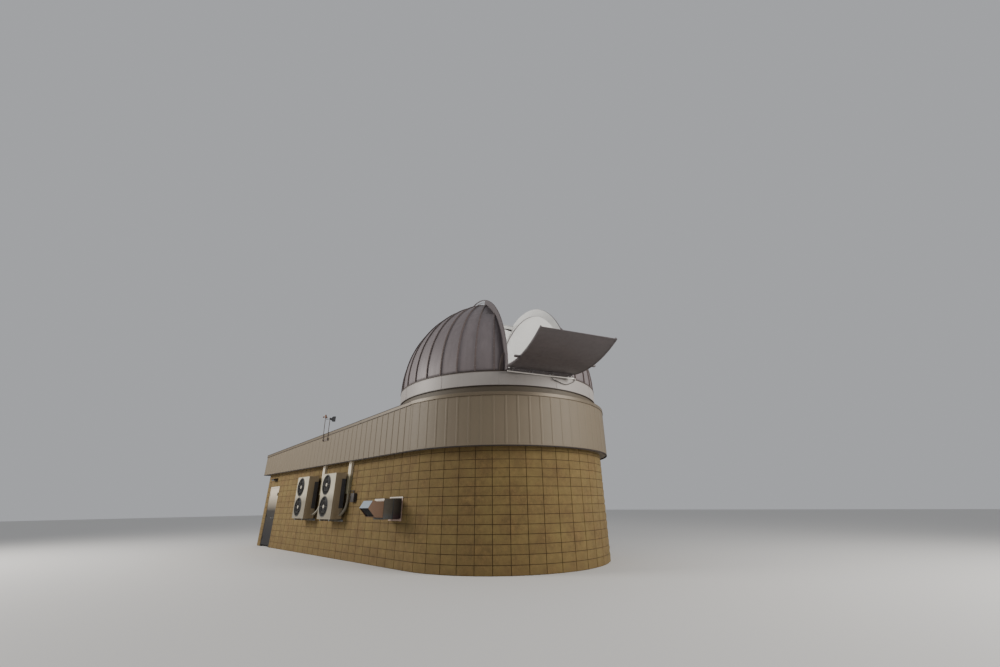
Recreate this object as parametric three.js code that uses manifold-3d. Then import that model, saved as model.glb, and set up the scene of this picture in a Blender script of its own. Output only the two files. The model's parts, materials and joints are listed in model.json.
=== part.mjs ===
// Small observatory building: a round block drum with a rotating slit dome and a low wing behind it.
// Millimetres, +Z up. The origin is on the ground at the dome's axis. The wing runs back along +Y.
import * as THREE from 'three';
import { mergeVertices } from 'three/addons/utils/BufferGeometryUtils.js';
import Module from 'manifold-3d';

const wasm = await Module();
wasm.setup();

// Driving dimensions
const GAP = 0.3;
const RING_SIDES = 72;
const WALL_RADIUS = 3121;
const WALL_THICK = 200;
const WING_END = 10990;
const OVERHANG = 210;
const ROOF_SLOPE = 0.043;
const FASCIA_BOTTOM = 2724;
const COPING_TOP = 4056;
const DOME_RADIUS = 3101;
const DOME_CENTRE_Z = 4734;
const RING_RADIUS = 3131;
const RING_BOTTOM = 4261;
const RING_TOP = 4669;
const SLIT_TURN = -23;
const SLIT_SEAM = 23.5;
const GORE_COUNT = 38;

// Walls, floor and roof
const FLOOR_TOP = 50;
const WALL_INNER = WALL_RADIUS - WALL_THICK;
const WALL_FACE = -(WALL_RADIUS + GAP);
const WALL_TOP = 3850;
const ROUND_SEGMENTS = 4;
const DECK_START = 320;
const COPING_PLATE = 20;
const COPING_DROP = 95;
const COPING_PROUD = 14;
const COPING_LAP = 100;
const COPING_END_CAP = 300;
const FASCIA_THICK = 20;
const SOFFIT_Z = 2745;
const SOFFIT_THICK = 15;

// Curb, rollers and base ring
const CURB_OUTER = RING_RADIUS - 20;
const CURB_INNER = CURB_OUTER - 170;
const CURB_TOP = 4320;
const ROLLER_COUNT = 12;
const ROLLER_RADIUS = 50;
const ROLLER_WIDTH = 40;
const ROLLER_PLATE = 12;
const CHEEK_SIZE = [70, 76, 60];
const ROLLER_CENTRE_R = 3026;
const TRACK_Z = CURB_TOP + GAP + ROLLER_PLATE + 8 + 2 * ROLLER_RADIUS;
const SKIRT_THICK = 12;

// Slit, arches and shutters
const SHELL_THICK = 30;
const ARCH_OUTER = 985;
const ARCH_THICK = 40;
const ARCH_INNER = ARCH_OUTER - ARCH_THICK;
const RAIL_RADIUS = 3120;
const ARCH_DEPTH = 240;
const CROWN_WINDOW = [62, 97];
const HEADER_ANGLE = [102.4, 105.2];
const SHUTTER_INNER = RAIL_RADIUS + 8;
const SHUTTER_OUTER = SHUTTER_INNER + 20;
const SHUTTER_HALF = 1024;
const FLANGE_THICK = 30;
const FLANGE_INNER = 3040;
const LOWER_FLANGE_INNER = 3092;
const LOWER_TOP_ANGLE = 35.5;
const LOWER_BOTTOM_Z = 4698;
const UPPER_START = 105;
const UPPER_ARC = 68.5;
const HINGE_Y = -3166;
const HINGE_Z = 4685;
const LOWER_OPEN = 98;

const CROWN_RADII = [2955, 3092];
const HEADER_INNER = 3040;
const HEADER_DROP = 8;
const TOP_PLATE_INNER = 2960;
const SILL_FRONT = -3143;
const SILL_BACK = -2860;
const SILL_THICK = 15;
const APRON_HALF = 1000;
const APRON_THICK = 9;
const APRON_BOTTOM = 4575;
const APRON_LIP = 20;
const LIP_THICK = 8;

// Hinge of the lower shutter: sets of one knuckle between two lugs, on one long pin.
const PIN_RADIUS = 8;
const PIN_HALF = 935;
const HINGE_PLACES = [-880, -305, 305, 880];
const LUG_SHIFT = 44;
const LUG_HALF = 10;
const LUG_RADIUS = 14;
const KNUCKLE_HALF = 30;
const KNUCKLE_RADIUS = 18;
const PIN_CLEAR = 0.7;
const STRAP_RISE = 55;
const EAR_ANGLES = [12.9, 14.1];
const EAR_RADII = [3086, 3126];
const EAR_OUT = 125;

// Leads at the slit: two conduits from the left arch to the base ring, and a slack cable under the sill.
const CONDUIT_RADIUS = 11;
const CONDUITS = {
  conduit_long: [
    [-985.3, -2965, 5150], [-1012, -2968, 5140], [-1044, -2970, 5095], [-1076, -2966, 5010],
    [-1094, -2954, 4920], [-1103, -2937, 4830], [-1106, -2920, 4740], [-1106, -2914, 4669.3],
  ],
  conduit_short: [
    [-985.3, -2960, 5106], [-1008, -2962, 5094], [-1029, -2958, 5040], [-1043, -2951, 4960],
    [-1052, -2942, 4870], [-1056, -2934, 4780], [-1058, -2930, 4669.3],
  ],
};
const SLACK_CABLE_RADIUS = 9;
const SLACK_CABLE = [
  [300, -3153, 4574.7], [301, -3153, 4560], [307, -3153, 4542], [320, -3151, 4524], [340, -3149, 4509],
  [368, -3145, 4498], [405, -3140, 4490], [455, -3132, 4480], [515, -3121, 4467], [580, -3108, 4452],
  [650, -3094, 4438], [715, -3080, 4430], [770, -3067, 4428], [822, -3053, 4436], [868, -3039, 4451],
  [918, -3024, 4473], [968, -3008, 4497], [1018, -2992, 4519], [1062, -2976, 4540], [1098, -2963, 4561],
  [1127, -2952, 4586], [1144, -2946, 4612], [1148, -2944, 4629.7],
];
const GLAND_ANGLE = 21.3;
const GLAND_BOTTOM = 4630;
const GLAND_HALF = 28;
const GLAND_OUT = 60;

// Entry door
const DOOR_START = 9600;
const DOOR_WIDTH = 1016;
const DOOR_HEAD = FLOOR_TOP + 2184;
const FRAME_FACE = 51;
const LEAF_RECESS = 3;
const DOOR_PIVOT_OUT = 10;
const HINGE_HEIGHTS = [300, 1115, 1930];
const HINGE_KNUCKLE = 34;
const HINGE_BARREL = 8;
const HINGE_LEAF = 30;
const LEAF_THICK = 45;
const LEAF_CLEAR = 6;
const STOP_FACE = 16;
const STOP_THICK = 40;
const LEVER_HEIGHT = 1000;
const LEVER_INSET = 70;
const LEVER_LENGTH = 120;
const LEVER_HALF = 9;
const ROSE_RADIUS = 30;
const ROSE_THICK = 8;
const LEVER_OUT = [40, 58];
const CONTACT_Z = [1880, 1990];
const CONTACT_THICK = 26;

// Light over the entry door
const LIGHT_CENTRE = 10100;
const LIGHT_WIDTH = 300;
const LIGHT_Z = [2440, 2560];
const LIGHT_OUT = 170;
const LIGHT_PLATE = 20;
const LIGHT_HOOD = 45;

// Outdoor units
const UNIT_CENTRES = [6000, 3955];
const UNIT_WIDTH = 950;
const UNIT_HEIGHT = 1305;
const UNIT_DEPTH = 330;
const UNIT_BOTTOM = 1085;
const UNIT_STANDOFF = 109;
const FAN_OFFSET = 120;
const FAN_HEIGHTS = [1440, 2070];
const FAN_WELL_RADIUS = 280;
const FAN_WELL_DEPTH = 150;
const FAN_RADIUS = 262;
const GRILLE_THICK = 12;
const FAN_NAMES = ['lower', 'upper'];
const RAIL_HALF = 400;
const RAIL_THICK = 12;
const ARM_SHIFT = 320;

const COVER_PLACES = [5215, 3295];
const COVER_WIDTH = 170;
const COVER_DEPTH = 85;
const COVER_BOTTOM = 1800;
const LINE_SET_RADIUS = 40;
const LINE_SET_Z = 1205;
const ISOLATOR_SHIFT = 440;
const ISOLATOR_WIDTH = 230;
const ISOLATOR_DEPTH = 100;
const ISOLATOR_BOTTOM = 1550;
const ISOLATOR_TOP = 1800;

// Wall vent and weather masts
const VENT_NEAR = 420;
const VENT_FAR = 880;
const VENT_BOTTOM = 1122;
const VENT_TOP = 1600;
const VENT_OUT = 500;
const HOOD_REACH = 420;
const HOOD_FALL = 46;
const HOOD_SHEET = 14;
const MAST_RADIUS = 12;
const MAST_STANDOFF = 32;
const MAST_FOOT_Z = 3570;
const MASTS = [
  { foot: 5410, head: 5490, top: 4420 },
  { foot: 5045, head: 5075, top: 4290 },
];
const INSTRUMENT_RISE = 14.3;
const SPINDLE_RADIUS = 20;
const SPINDLE_TOP = 34;
const CUP_RADIUS = 30;
const CUP_REACH = 64;
const CUP_TURNS = [30, 150, 270];
const VANE_TURN = -45;
const VANE_ARM = [-110, 150];
const VANE_FIN = [100, 8, 190];
const VANE_NOSE = [40, 20, 20];

const building = new THREE.Group();
const dome = new THREE.Group();
dome.rotation.z = THREE.MathUtils.degToRad(SLIT_TURN);
building.add(dome);
const lowerHinge = new THREE.Group();
lowerHinge.position.set(0, HINGE_Y, HINGE_Z);
lowerHinge.rotation.x = THREE.MathUtils.degToRad(LOWER_OPEN);
dome.add(lowerHinge);

const material = (color, roughness, metalness) => new THREE.MeshStandardMaterial({
  color,
  roughness,
  metalness,
});

const BLOCK = [0xa08a66, 0.9, 0];
const CONCRETE = [0x9a978f, 0.9, 0];
const ROOFING = [0x8c8a86, 0.6, 0.3];
const TAN_METAL = [0xa8957a, 0.5, 0.3];
const DOME_METAL = [0xa4a3a6, 0.45, 0.5];
const RING_METAL = [0xb5aba0, 0.45, 0.5];
const STEEL = [0x74767a, 0.5, 0.7];
const OFF_WHITE = [0xd9d4c4, 0.5, 0.1];
const DARK = [0x26282a, 0.6, 0.2];
const BROWN_METAL = [0x8a5f48, 0.5, 0.3];
const DOOR_METAL = [0x8b857a, 0.5, 0.3];

const rad = (degrees) => degrees * Math.PI / 180;

// Closed three.js geometry to a solid, with shared corners merged and triangles of no area dropped.
const solid = (geometry) => {
  const plain = geometry.clone();
  plain.deleteAttribute('normal');
  plain.deleteAttribute('uv');
  const merged = mergeVertices(plain, 1e-3);
  const index = merged.index.array;
  const kept = [];
  for (let i = 0; i < index.length; i += 3) {
    const [a, b, c] = index.slice(i, i + 3);
    if (a !== b && b !== c && c !== a) kept.push(a, b, c);
  }
  const vertProperties = new Float32Array(merged.attributes.position.array);
  return new wasm.Manifold(new wasm.Mesh({ numProp: 3, vertProperties, triVerts: new Uint32Array(kept) }));
};

const geometryOf = (body) => {
  const mesh = body.getMesh();
  const geometry = new THREE.BufferGeometry();
  geometry.setAttribute('position', new THREE.BufferAttribute(new Float32Array(mesh.vertProperties), 3));
  geometry.setIndex(new THREE.BufferAttribute(new Uint32Array(mesh.triVerts), 1));
  geometry.computeVertexNormals();
  return geometry;
};

const join = (bodies) => bodies.reduce((sum, body) => sum.add(body));

const addPiece = (parent, name, body, look) => {
  const mesh = new THREE.Mesh(geometryOf(body), material(...look));
  mesh.name = name;
  parent.add(mesh);
  return mesh;
};

// Box between two corners.
const box = (x0, x1, y0, y1, z0, z1) => {
  const geometry = new THREE.BoxGeometry(x1 - x0, y1 - y0, z1 - z0);
  geometry.translate((x0 + x1) / 2, (y0 + y1) / 2, (z0 + z1) / 2);
  return solid(geometry);
};

const shapeOf = (points, holes = []) => {
  const shape = new THREE.Shape(points.map(([u, v]) => new THREE.Vector2(u, v)));
  for (const hole of holes) shape.holes.push(new THREE.Path(hole.map(([u, v]) => new THREE.Vector2(u, v))));
  return shape;
};

// Outline in the XY plane, raised from z0 to z1.
const plate = (points, z0, z1, holes = []) => {
  const geometry = new THREE.ExtrudeGeometry(shapeOf(points, holes), { depth: z1 - z0, bevelEnabled: false });
  geometry.translate(0, 0, z0);
  return solid(geometry);
};

// Outline in the YZ plane, running from x0 to x1.
const alongX = (points, x0, x1, holes = []) => {
  const geometry = new THREE.ExtrudeGeometry(shapeOf(points, holes), { depth: x1 - x0, bevelEnabled: false });
  geometry.rotateX(Math.PI / 2);
  geometry.rotateZ(Math.PI / 2);
  geometry.translate(x0, 0, 0);
  return solid(geometry);
};

// Outline in the XZ plane, running from y0 to y1.
const alongY = (points, y0, y1, holes = []) => {
  const geometry = new THREE.ExtrudeGeometry(shapeOf(points, holes), { depth: y1 - y0, bevelEnabled: false });
  geometry.rotateX(Math.PI / 2);
  geometry.translate(0, y1, 0);
  return solid(geometry);
};

const circle = (u, v, radius, sides) => Array.from({ length: sides }, (_, i) => {
  const a = 2 * Math.PI * i / sides;
  return [u + radius * Math.cos(a), v + radius * Math.sin(a)];
});

// Outline of radius and height turned round the Z axis. Angle 0 faces -Y and grows towards +X.
const turned = (profile, segments, start = 0) => {
  const points = profile.map(([r, z]) => new THREE.Vector2(r, z));
  const geometry = new THREE.LatheGeometry(points, segments, rad(start), 2 * Math.PI);
  geometry.rotateX(Math.PI / 2);
  const body = solid(geometry);
  return body.volume() < 0 ? solid(flipped(geometry)) : body;
};

const flipped = (geometry) => {
  const turnedOver = geometry.clone();
  const index = turnedOver.index.array;
  for (let i = 0; i < index.length; i += 3) [index[i], index[i + 1]] = [index[i + 1], index[i]];
  return turnedOver;
};

const closedRing = (outline) => [...outline, outline[0]];
const ringProfile = (r0, r1, z0, z1) => closedRing([[r0, z0], [r1, z0], [r1, z1], [r0, z1]]);

// Wedge of plan between two angles, for cutting a ring into stretches.
const wedge = (from, to, radius, z0, z1) => {
  const points = [[0, 0]];
  const steps = 4;
  for (let i = 0; i <= steps; i += 1) {
    const a = rad(from + (to - from) * i / steps);
    points.push([radius * Math.sin(a), -radius * Math.cos(a)]);
  }
  return plate(points, z0, z1);
};

// Stretch of a band that bends over the dome from front to back, in the plane across the slit.
// Angles rise from the front horizon, so 90 is the zenith.
const bandOutline = (r0, r1, from, to, step) => {
  const count = Math.ceil((to - from) / step);
  const angles = Array.from({ length: count + 1 }, (_, i) => rad(from + (to - from) * i / count));
  const at = (r, a) => [-r * Math.cos(a), DOME_CENTRE_Z + r * Math.sin(a)];
  return [...angles.map((a) => at(r1, a)), ...angles.toReversed().map((a) => at(r0, a))];
};

const band = (x0, x1, r0, r1, from, to, step = 3) => alongX(bandOutline(r0, r1, from, to, step), x0, x1);

const roofFall = (y) => ROOF_SLOPE * Math.max(y, 0);
const wallTopAt = (y) => WALL_TOP - roofFall(y);

// Floor inside the walls, with a round front end.
const floorOutline = (inset) => {
  const r = WALL_INNER - inset;
  const points = [[r, WING_END - WALL_THICK - inset], [-r, WING_END - WALL_THICK - inset]];
  for (let a = -90; a <= 90; a += 360 / RING_SIDES) {
    points.push([r * Math.sin(rad(a)), -r * Math.cos(rad(a))]);
  }
  return points;
};

const addFloor = () => addPiece(building, 'floor_slab', plate(floorOutline(GAP), 0, FLOOR_TOP), CONCRETE);

// Block walls: the round front in segments, then the wing, split round the entry door.
const addRoundWalls = () => {
  const span = 180 / ROUND_SEGMENTS;
  const ring = turned(ringProfile(WALL_INNER, WALL_RADIUS, 0, WALL_TOP), RING_SIDES);
  const slack = (GAP / 2 / WALL_INNER) * 180 / Math.PI;
  for (let i = 0; i < ROUND_SEGMENTS; i += 1) {
    const from = -90 + span * i + slack;
    const to = -90 + span * (i + 1) - slack;
    const piece = ring.intersect(wedge(from, to, 2 * WALL_RADIUS, -100, WALL_TOP + 100));
    addPiece(building, `round_wall_${i + 1}`, piece, BLOCK);
  }
};

const sideWall = (y0, y1, z0, x0) => alongX(
  [[y0, z0], [y1, z0], [y1, wallTopAt(y1)], [y0, wallTopAt(y0)]],
  x0,
  x0 + WALL_THICK,
);

const addWingWalls = () => {
  const doorEnd = DOOR_START + DOOR_WIDTH;
  const rearFace = WING_END - WALL_THICK;
  const left = -WALL_RADIUS;
  addPiece(building, 'left_wall_front', sideWall(GAP, DOOR_START, 0, left), BLOCK);
  const overDoor = sideWall(DOOR_START + GAP, doorEnd - GAP, DOOR_HEAD, left);
  addPiece(building, 'left_wall_over_door', overDoor, BLOCK);
  addPiece(building, 'left_wall_rear', sideWall(doorEnd, rearFace - GAP, 0, left), BLOCK);
  addPiece(building, 'right_wall', sideWall(GAP, rearFace - GAP, 0, WALL_INNER), BLOCK);
  const rearProfile = [
    [rearFace, 0],
    [WING_END, 0],
    [WING_END, wallTopAt(WING_END)],
    [rearFace, wallTopAt(rearFace)],
  ];
  addPiece(building, 'rear_wall', alongX(rearProfile, -WALL_RADIUS, WALL_RADIUS), BLOCK);
};

// Round space for the curb through what lies on the roof.
const curbSpace = (slack) => turned(
  [[0, 3000], [CURB_OUTER + slack, 3000], [CURB_OUTER + slack, 5000], [0, 5000]],
  RING_SIDES,
);

// Roof deck of the wing, falling to the rear, cut round the curb.
const addRoof = () => {
  const under = (y) => wallTopAt(y) + GAP;
  const top = (y) => COPING_TOP - COPING_PLATE - GAP - roofFall(y);
  const outline = [
    [DECK_START, under(DECK_START)],
    [WING_END, under(WING_END)],
    [WING_END, top(WING_END)],
    [DECK_START, top(DECK_START)],
  ];
  const slab = alongX(outline, -WALL_RADIUS, WALL_RADIUS);
  addPiece(building, 'roof_deck', slab.subtract(curbSpace(GAP)), ROOFING);
};

// Fascia: a hanging metal face with a soffit back to the wall, round the drum and along the wing.
const FASCIA_FACE = WALL_RADIUS + OVERHANG;
const FASCIA_BACK = FASCIA_FACE - FASCIA_THICK;
const FASCIA_END = WING_END + OVERHANG;
const fasciaTopAt = (y) => COPING_TOP - COPING_PLATE - GAP - roofFall(y);

const addRoundFascia = () => {
  const profile = closedRing([
    [WALL_RADIUS + GAP, SOFFIT_Z],
    [FASCIA_BACK, SOFFIT_Z],
    [FASCIA_BACK, FASCIA_BOTTOM],
    [FASCIA_FACE, FASCIA_BOTTOM],
    [FASCIA_FACE, fasciaTopAt(0)],
    [FASCIA_BACK, fasciaTopAt(0)],
    [FASCIA_BACK, SOFFIT_Z + SOFFIT_THICK],
    [WALL_RADIUS + GAP, SOFFIT_Z + SOFFIT_THICK],
  ]);
  const ring = turned(profile, RING_SIDES);
  const slack = (GAP / 2 / WALL_RADIUS) * 180 / Math.PI;
  const names = ['fascia_round_left', 'fascia_round_right'];
  names.forEach((name, i) => {
    const piece = ring.intersect(wedge(-90 + 90 * i + slack, 90 * i - slack, 2 * FASCIA_FACE, 2000, 5000));
    addPiece(building, name, piece, TAN_METAL);
  });
};

const addWingFascia = () => {
  const face = [
    [GAP, FASCIA_BOTTOM],
    [FASCIA_END - FASCIA_THICK - GAP, FASCIA_BOTTOM],
    [FASCIA_END - FASCIA_THICK - GAP, fasciaTopAt(FASCIA_END)],
    [GAP, fasciaTopAt(0)],
  ];
  const sides = { fascia_left: -1, fascia_right: 1 };
  for (const [name, side] of Object.entries(sides)) {
    const xs = [side * FASCIA_BACK, side * FASCIA_FACE].sort((a, b) => a - b);
    const soffitXs = [side * (WALL_RADIUS + GAP), side * (FASCIA_BACK + 1)].sort((a, b) => a - b);
    const soffit = box(...soffitXs, GAP, WING_END, SOFFIT_Z, SOFFIT_Z + SOFFIT_THICK);
    addPiece(building, name, join([alongX(face, ...xs), soffit]), TAN_METAL);
  }
  const faceBack = FASCIA_END - FASCIA_THICK;
  const rearTop = fasciaTopAt(FASCIA_END);
  const rearFace = box(-FASCIA_FACE, FASCIA_FACE, faceBack, FASCIA_END, FASCIA_BOTTOM, rearTop);
  const half = FASCIA_BACK - GAP;
  const rearSoffit = box(-half, half, WING_END + GAP, faceBack + 1, SOFFIT_Z, SOFFIT_Z + SOFFIT_THICK);
  addPiece(building, 'fascia_rear', join([rearFace, rearSoffit]), TAN_METAL);
};

// Coping: a metal cap over the fascia's top edge.
const COPING_FACE = FASCIA_FACE + COPING_PROUD;
const COPING_BACK = CURB_OUTER + 1;

const addCoping = () => {
  const under = COPING_TOP - COPING_PLATE;
  const leg = COPING_TOP - COPING_DROP;
  const legBack = FASCIA_FACE + GAP;
  const profile = closedRing([
    [COPING_BACK, under],
    [legBack, under],
    [legBack, leg],
    [COPING_FACE, leg],
    [COPING_FACE, COPING_TOP],
    [COPING_BACK, COPING_TOP],
  ]);
  const front = turned(profile, RING_SIDES).intersect(box(-5000, 5000, -5000, 0, 3000, 5000));
  addPiece(building, 'coping_round', front, TAN_METAL);
  const end = FASCIA_END + COPING_PROUD;
  const wingBack = WALL_RADIUS - COPING_LAP;
  const slopes = (y, drop) => COPING_TOP - roofFall(y) - drop;
  const strip = (y0, y1, low) => [
    [y0, slopes(y0, low)],
    [y1, slopes(y1, low)],
    [y1, slopes(y1, 0)],
    [y0, slopes(y0, 0)],
  ];
  const sides = { coping_left: -1, coping_right: 1 };
  const sideEnd = FASCIA_END - COPING_END_CAP;
  for (const [name, side] of Object.entries(sides)) {
    const capXs = [side * wingBack, side * COPING_FACE].sort((a, b) => a - b);
    const legXs = [side * legBack, side * COPING_FACE].sort((a, b) => a - b);
    const cap = alongX(strip(GAP, sideEnd, COPING_PLATE), ...capXs).subtract(curbSpace(1));
    addPiece(building, name, join([cap, alongX(strip(GAP, sideEnd, COPING_DROP), ...legXs)]), TAN_METAL);
  }
  const rearCap = alongX(strip(sideEnd + GAP, end, COPING_PLATE), -COPING_FACE, COPING_FACE);
  const rearLeg = alongX(strip(FASCIA_END + GAP, end, COPING_DROP), -COPING_FACE, COPING_FACE);
  const cornerLegs = [-1, 1].map((side) => {
    const xs = [side * legBack, side * COPING_FACE].sort((a, b) => a - b);
    return alongX(strip(sideEnd + GAP, end, COPING_DROP), ...xs);
  });
  addPiece(building, 'coping_rear', join([rearCap, rearLeg, ...cornerLegs]), TAN_METAL);
};

// Curb ring that carries the dome, and the ring of rollers on it.
const addCurb = () => {
  const curb = turned(ringProfile(CURB_INNER, CURB_OUTER, WALL_TOP + GAP, CURB_TOP), RING_SIDES);
  addPiece(building, 'dome_curb', curb, TAN_METAL);
  const base = CURB_TOP + GAP;
  const plateHalf = 60;
  const plateOutline = ringProfile(
    ROLLER_CENTRE_R - plateHalf,
    ROLLER_CENTRE_R + plateHalf,
    base,
    base + ROLLER_PLATE,
  );
  const plateRing = turned(plateOutline, RING_SIDES / 2);
  const blocks = [];
  for (let i = 0; i < ROLLER_COUNT; i += 1) {
    const wheel = new THREE.CylinderGeometry(ROLLER_RADIUS, ROLLER_RADIUS, ROLLER_WIDTH, 10);
    wheel.translate(0, -ROLLER_CENTRE_R, TRACK_Z - ROLLER_RADIUS);
    const cheeks = new THREE.BoxGeometry(...CHEEK_SIZE);
    cheeks.translate(0, -ROLLER_CENTRE_R, base + ROLLER_PLATE + CHEEK_SIZE[2] / 2 - 1);
    for (const geometry of [wheel, cheeks]) {
      geometry.rotateZ(2 * Math.PI * (i + 0.5) / ROLLER_COUNT);
      blocks.push(solid(geometry));
    }
  }
  addPiece(building, 'roller_ring', join([plateRing, ...blocks]), STEEL);
};

// Axis of the door's hinges in plan, just outside the frame on its rear side.
const FRAME_FRONT = -WALL_RADIUS - 3;
const DOOR_PIVOT = [FRAME_FRONT - DOOR_PIVOT_OUT, DOOR_START + DOOR_WIDTH - GAP - FRAME_FACE - 2];

// Outline of a door case without a threshold, with faces of one width.
const caseOutline = (y0, y1, top, width) => [
  [y0, 0], [y0 + width, 0], [y0 + width, top - width], [y1 - width, top - width],
  [y1 - width, 0], [y1, 0], [y1, top], [y0, top],
];

// Half of a hinge: barrel stretch at the pivot and a leaf to one side of it.
const hingeHalf = (z, height, x1, y0, y1) => [
  plate(circle(...DOOR_PIVOT, HINGE_BARREL, 10), z - height / 2, z + height / 2),
  box(DOOR_PIVOT[0], x1, y0, y1, z - height / 2, z + height / 2),
];

// Entry door in the left wall: frame with its hinge barrels, leaf and lever handles.
const addDoor = () => {
  const y0 = DOOR_START + GAP;
  const y1 = DOOR_START + DOOR_WIDTH - GAP;
  const top = DOOR_HEAD - GAP;
  const frame = alongX(caseOutline(y0, y1, top, FRAME_FACE), FRAME_FRONT, -WALL_INNER);
  const stopFront = FRAME_FRONT + LEAF_RECESS + LEAF_THICK + 3;
  const stopOutline = caseOutline(y0 + 1, y1 - 1, top - 1, FRAME_FACE + STOP_FACE - 1);
  const stops = alongX(stopOutline, stopFront, stopFront + STOP_THICK);
  const [, pivotY] = DOOR_PIVOT;
  const halves = HINGE_HEIGHTS.flatMap((z) => [-HINGE_KNUCKLE, HINGE_KNUCKLE].flatMap(
    (shift) => hingeHalf(z + shift, HINGE_KNUCKLE, FRAME_FRONT + 2, pivotY, pivotY + HINGE_LEAF),
  ));
  const contactXs = [FRAME_FRONT - CONTACT_THICK, FRAME_FRONT + 1];
  const contact = box(...contactXs, y0 + 2, y0 + FRAME_FACE - 2, ...CONTACT_Z);
  addPiece(building, 'door_frame', join([frame, stops, contact, ...halves]), DOOR_METAL);
};

const addDoorLeaf = () => {
  const y0 = DOOR_START + GAP + FRAME_FACE + LEAF_CLEAR + 2;
  const y1 = DOOR_START + DOOR_WIDTH - GAP - FRAME_FACE - LEAF_CLEAR + 2;
  const z0 = FLOOR_TOP + 10;
  const z1 = DOOR_HEAD - GAP - FRAME_FACE - LEAF_CLEAR;
  const face = FRAME_FRONT + LEAF_RECESS;
  const [, pivotY] = DOOR_PIVOT;
  const knuckles = HINGE_HEIGHTS.flatMap(
    (z) => hingeHalf(z, HINGE_KNUCKLE - 2 * GAP, face + 1, pivotY - HINGE_LEAF - 5, pivotY),
  );
  const leaf = join([box(face, face + LEAF_THICK, y0, y1, z0, z1), ...knuckles]);
  addPiece(building, 'entry_door', leaf, DOOR_METAL);
  const leverY = y0 + LEVER_INSET;
  const leverZ = FLOOR_TOP + LEVER_HEIGHT;
  const sides = { door_lever_outside: [face - GAP, -1], door_lever_inside: [face + LEAF_THICK + GAP, 1] };
  for (const [name, [x, side]] of Object.entries(sides)) {
    const span = (from, to) => [x + side * from, x + side * to].sort((a, b) => a - b);
    const rose = alongX(circle(leverY, leverZ, ROSE_RADIUS, 20), ...span(0, ROSE_THICK));
    const neck = alongX(circle(leverY, leverZ, LEVER_HALF, 12), ...span(ROSE_THICK - 1, LEVER_OUT[0] + 5));
    const leverZs = [leverZ - LEVER_HALF, leverZ + LEVER_HALF];
    const lever = box(...span(...LEVER_OUT), leverY - LEVER_HALF, leverY + LEVER_LENGTH, ...leverZs);
    addPiece(building, name, join([rose, neck, lever]), STEEL);
  }
};

// Light on the wall over the door: a back plate with a hood that slopes down to its front.
const addDoorLight = () => {
  const [bottom, top] = LIGHT_Z;
  const front = WALL_FACE - LIGHT_OUT;
  const outline = [
    [WALL_FACE, bottom],
    [WALL_FACE, top],
    [WALL_FACE - LIGHT_PLATE, top],
    [front, top - LIGHT_HOOD / 2],
    [front, top - LIGHT_HOOD - 20],
    [WALL_FACE - LIGHT_PLATE, top - 2 * LIGHT_HOOD],
    [WALL_FACE - LIGHT_PLATE, bottom],
  ];
  const ys = [LIGHT_CENTRE - LIGHT_WIDTH / 2, LIGHT_CENTRE + LIGHT_WIDTH / 2];
  addPiece(building, 'door_light', alongY(outline.toReversed(), ...ys), STEEL);
};

// Dome: base ring on the rollers, gored shells, arches beside the slit, header and sill.
const addBaseRing = () => {
  const back = RING_RADIUS - SKIRT_THICK;
  const track = TRACK_Z + GAP;
  const lip = 20;
  const profile = closedRing([
    [back, RING_BOTTOM],
    [RING_RADIUS, RING_BOTTOM],
    [RING_RADIUS, RING_TOP],
    [TOP_PLATE_INNER, RING_TOP],
    [TOP_PLATE_INNER, RING_TOP - lip],
    [back, RING_TOP - lip],
    [back, track + lip + 10],
    [CURB_INNER, track + lip + 10],
    [CURB_INNER, track],
    [back, track],
  ]);
  const glandOut = RING_RADIUS + GLAND_OUT;
  const glandYs = [-glandOut, SKIRT_THICK - 2 - RING_RADIUS];
  const gland = box(-GLAND_HALF, GLAND_HALF, ...glandYs, GLAND_BOTTOM, RING_TOP - 1);
  const body = turned(profile, RING_SIDES).add(gland.rotate([0, 0, GLAND_ANGLE]));
  addPiece(dome, 'base_ring', body, RING_METAL);
};

// Half circle of the shell in radius and height, from the crown down the inside and back up the outside.
const shellProfile = () => {
  const base = RING_TOP + GAP;
  const arc = (radius, step) => {
    const low = Math.asin((base - DOME_CENTRE_Z) / radius) * 180 / Math.PI;
    const count = Math.ceil((90 - low) / step);
    return Array.from({ length: count + 1 }, (_, i) => {
      const a = rad(low + (90 - low) * i / count);
      return [i === count ? 0 : radius * Math.cos(a), DOME_CENTRE_Z + radius * Math.sin(a)];
    });
  };
  return [...arc(DOME_RADIUS - SHELL_THICK, 10).toReversed(), ...arc(DOME_RADIUS, 5)];
};

const addShells = () => {
  const far = 4000;
  const heights = [4000, 9000];
  const sides = { dome_shell_left: -1, dome_shell_right: 1 };
  for (const [name, side] of Object.entries(sides)) {
    const shell = turned(shellProfile(), GORE_COUNT, side * SLIT_SEAM);
    const xs = [side * (ARCH_OUTER + GAP), side * far].sort((a, b) => a - b);
    addPiece(dome, name, shell.intersect(box(...xs, -far, far, ...heights)), DOME_METAL);
  }
  const cut = rad(HEADER_ANGLE[1]) + GAP / DOME_RADIUS;
  const behind = [
    [0, DOME_CENTRE_Z],
    [0, RING_TOP],
    [far, RING_TOP],
    [far, 9000],
    [-far * Math.cos(cut), DOME_CENTRE_Z + far * Math.sin(cut)],
  ];
  const half = ARCH_INNER - GAP;
  const closed = turned(shellProfile(), GORE_COUNT, SLIT_SEAM - 180 / GORE_COUNT);
  addPiece(dome, 'dome_shell_rear', closed.intersect(alongX(behind, -half, half)), DOME_METAL);
};

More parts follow.
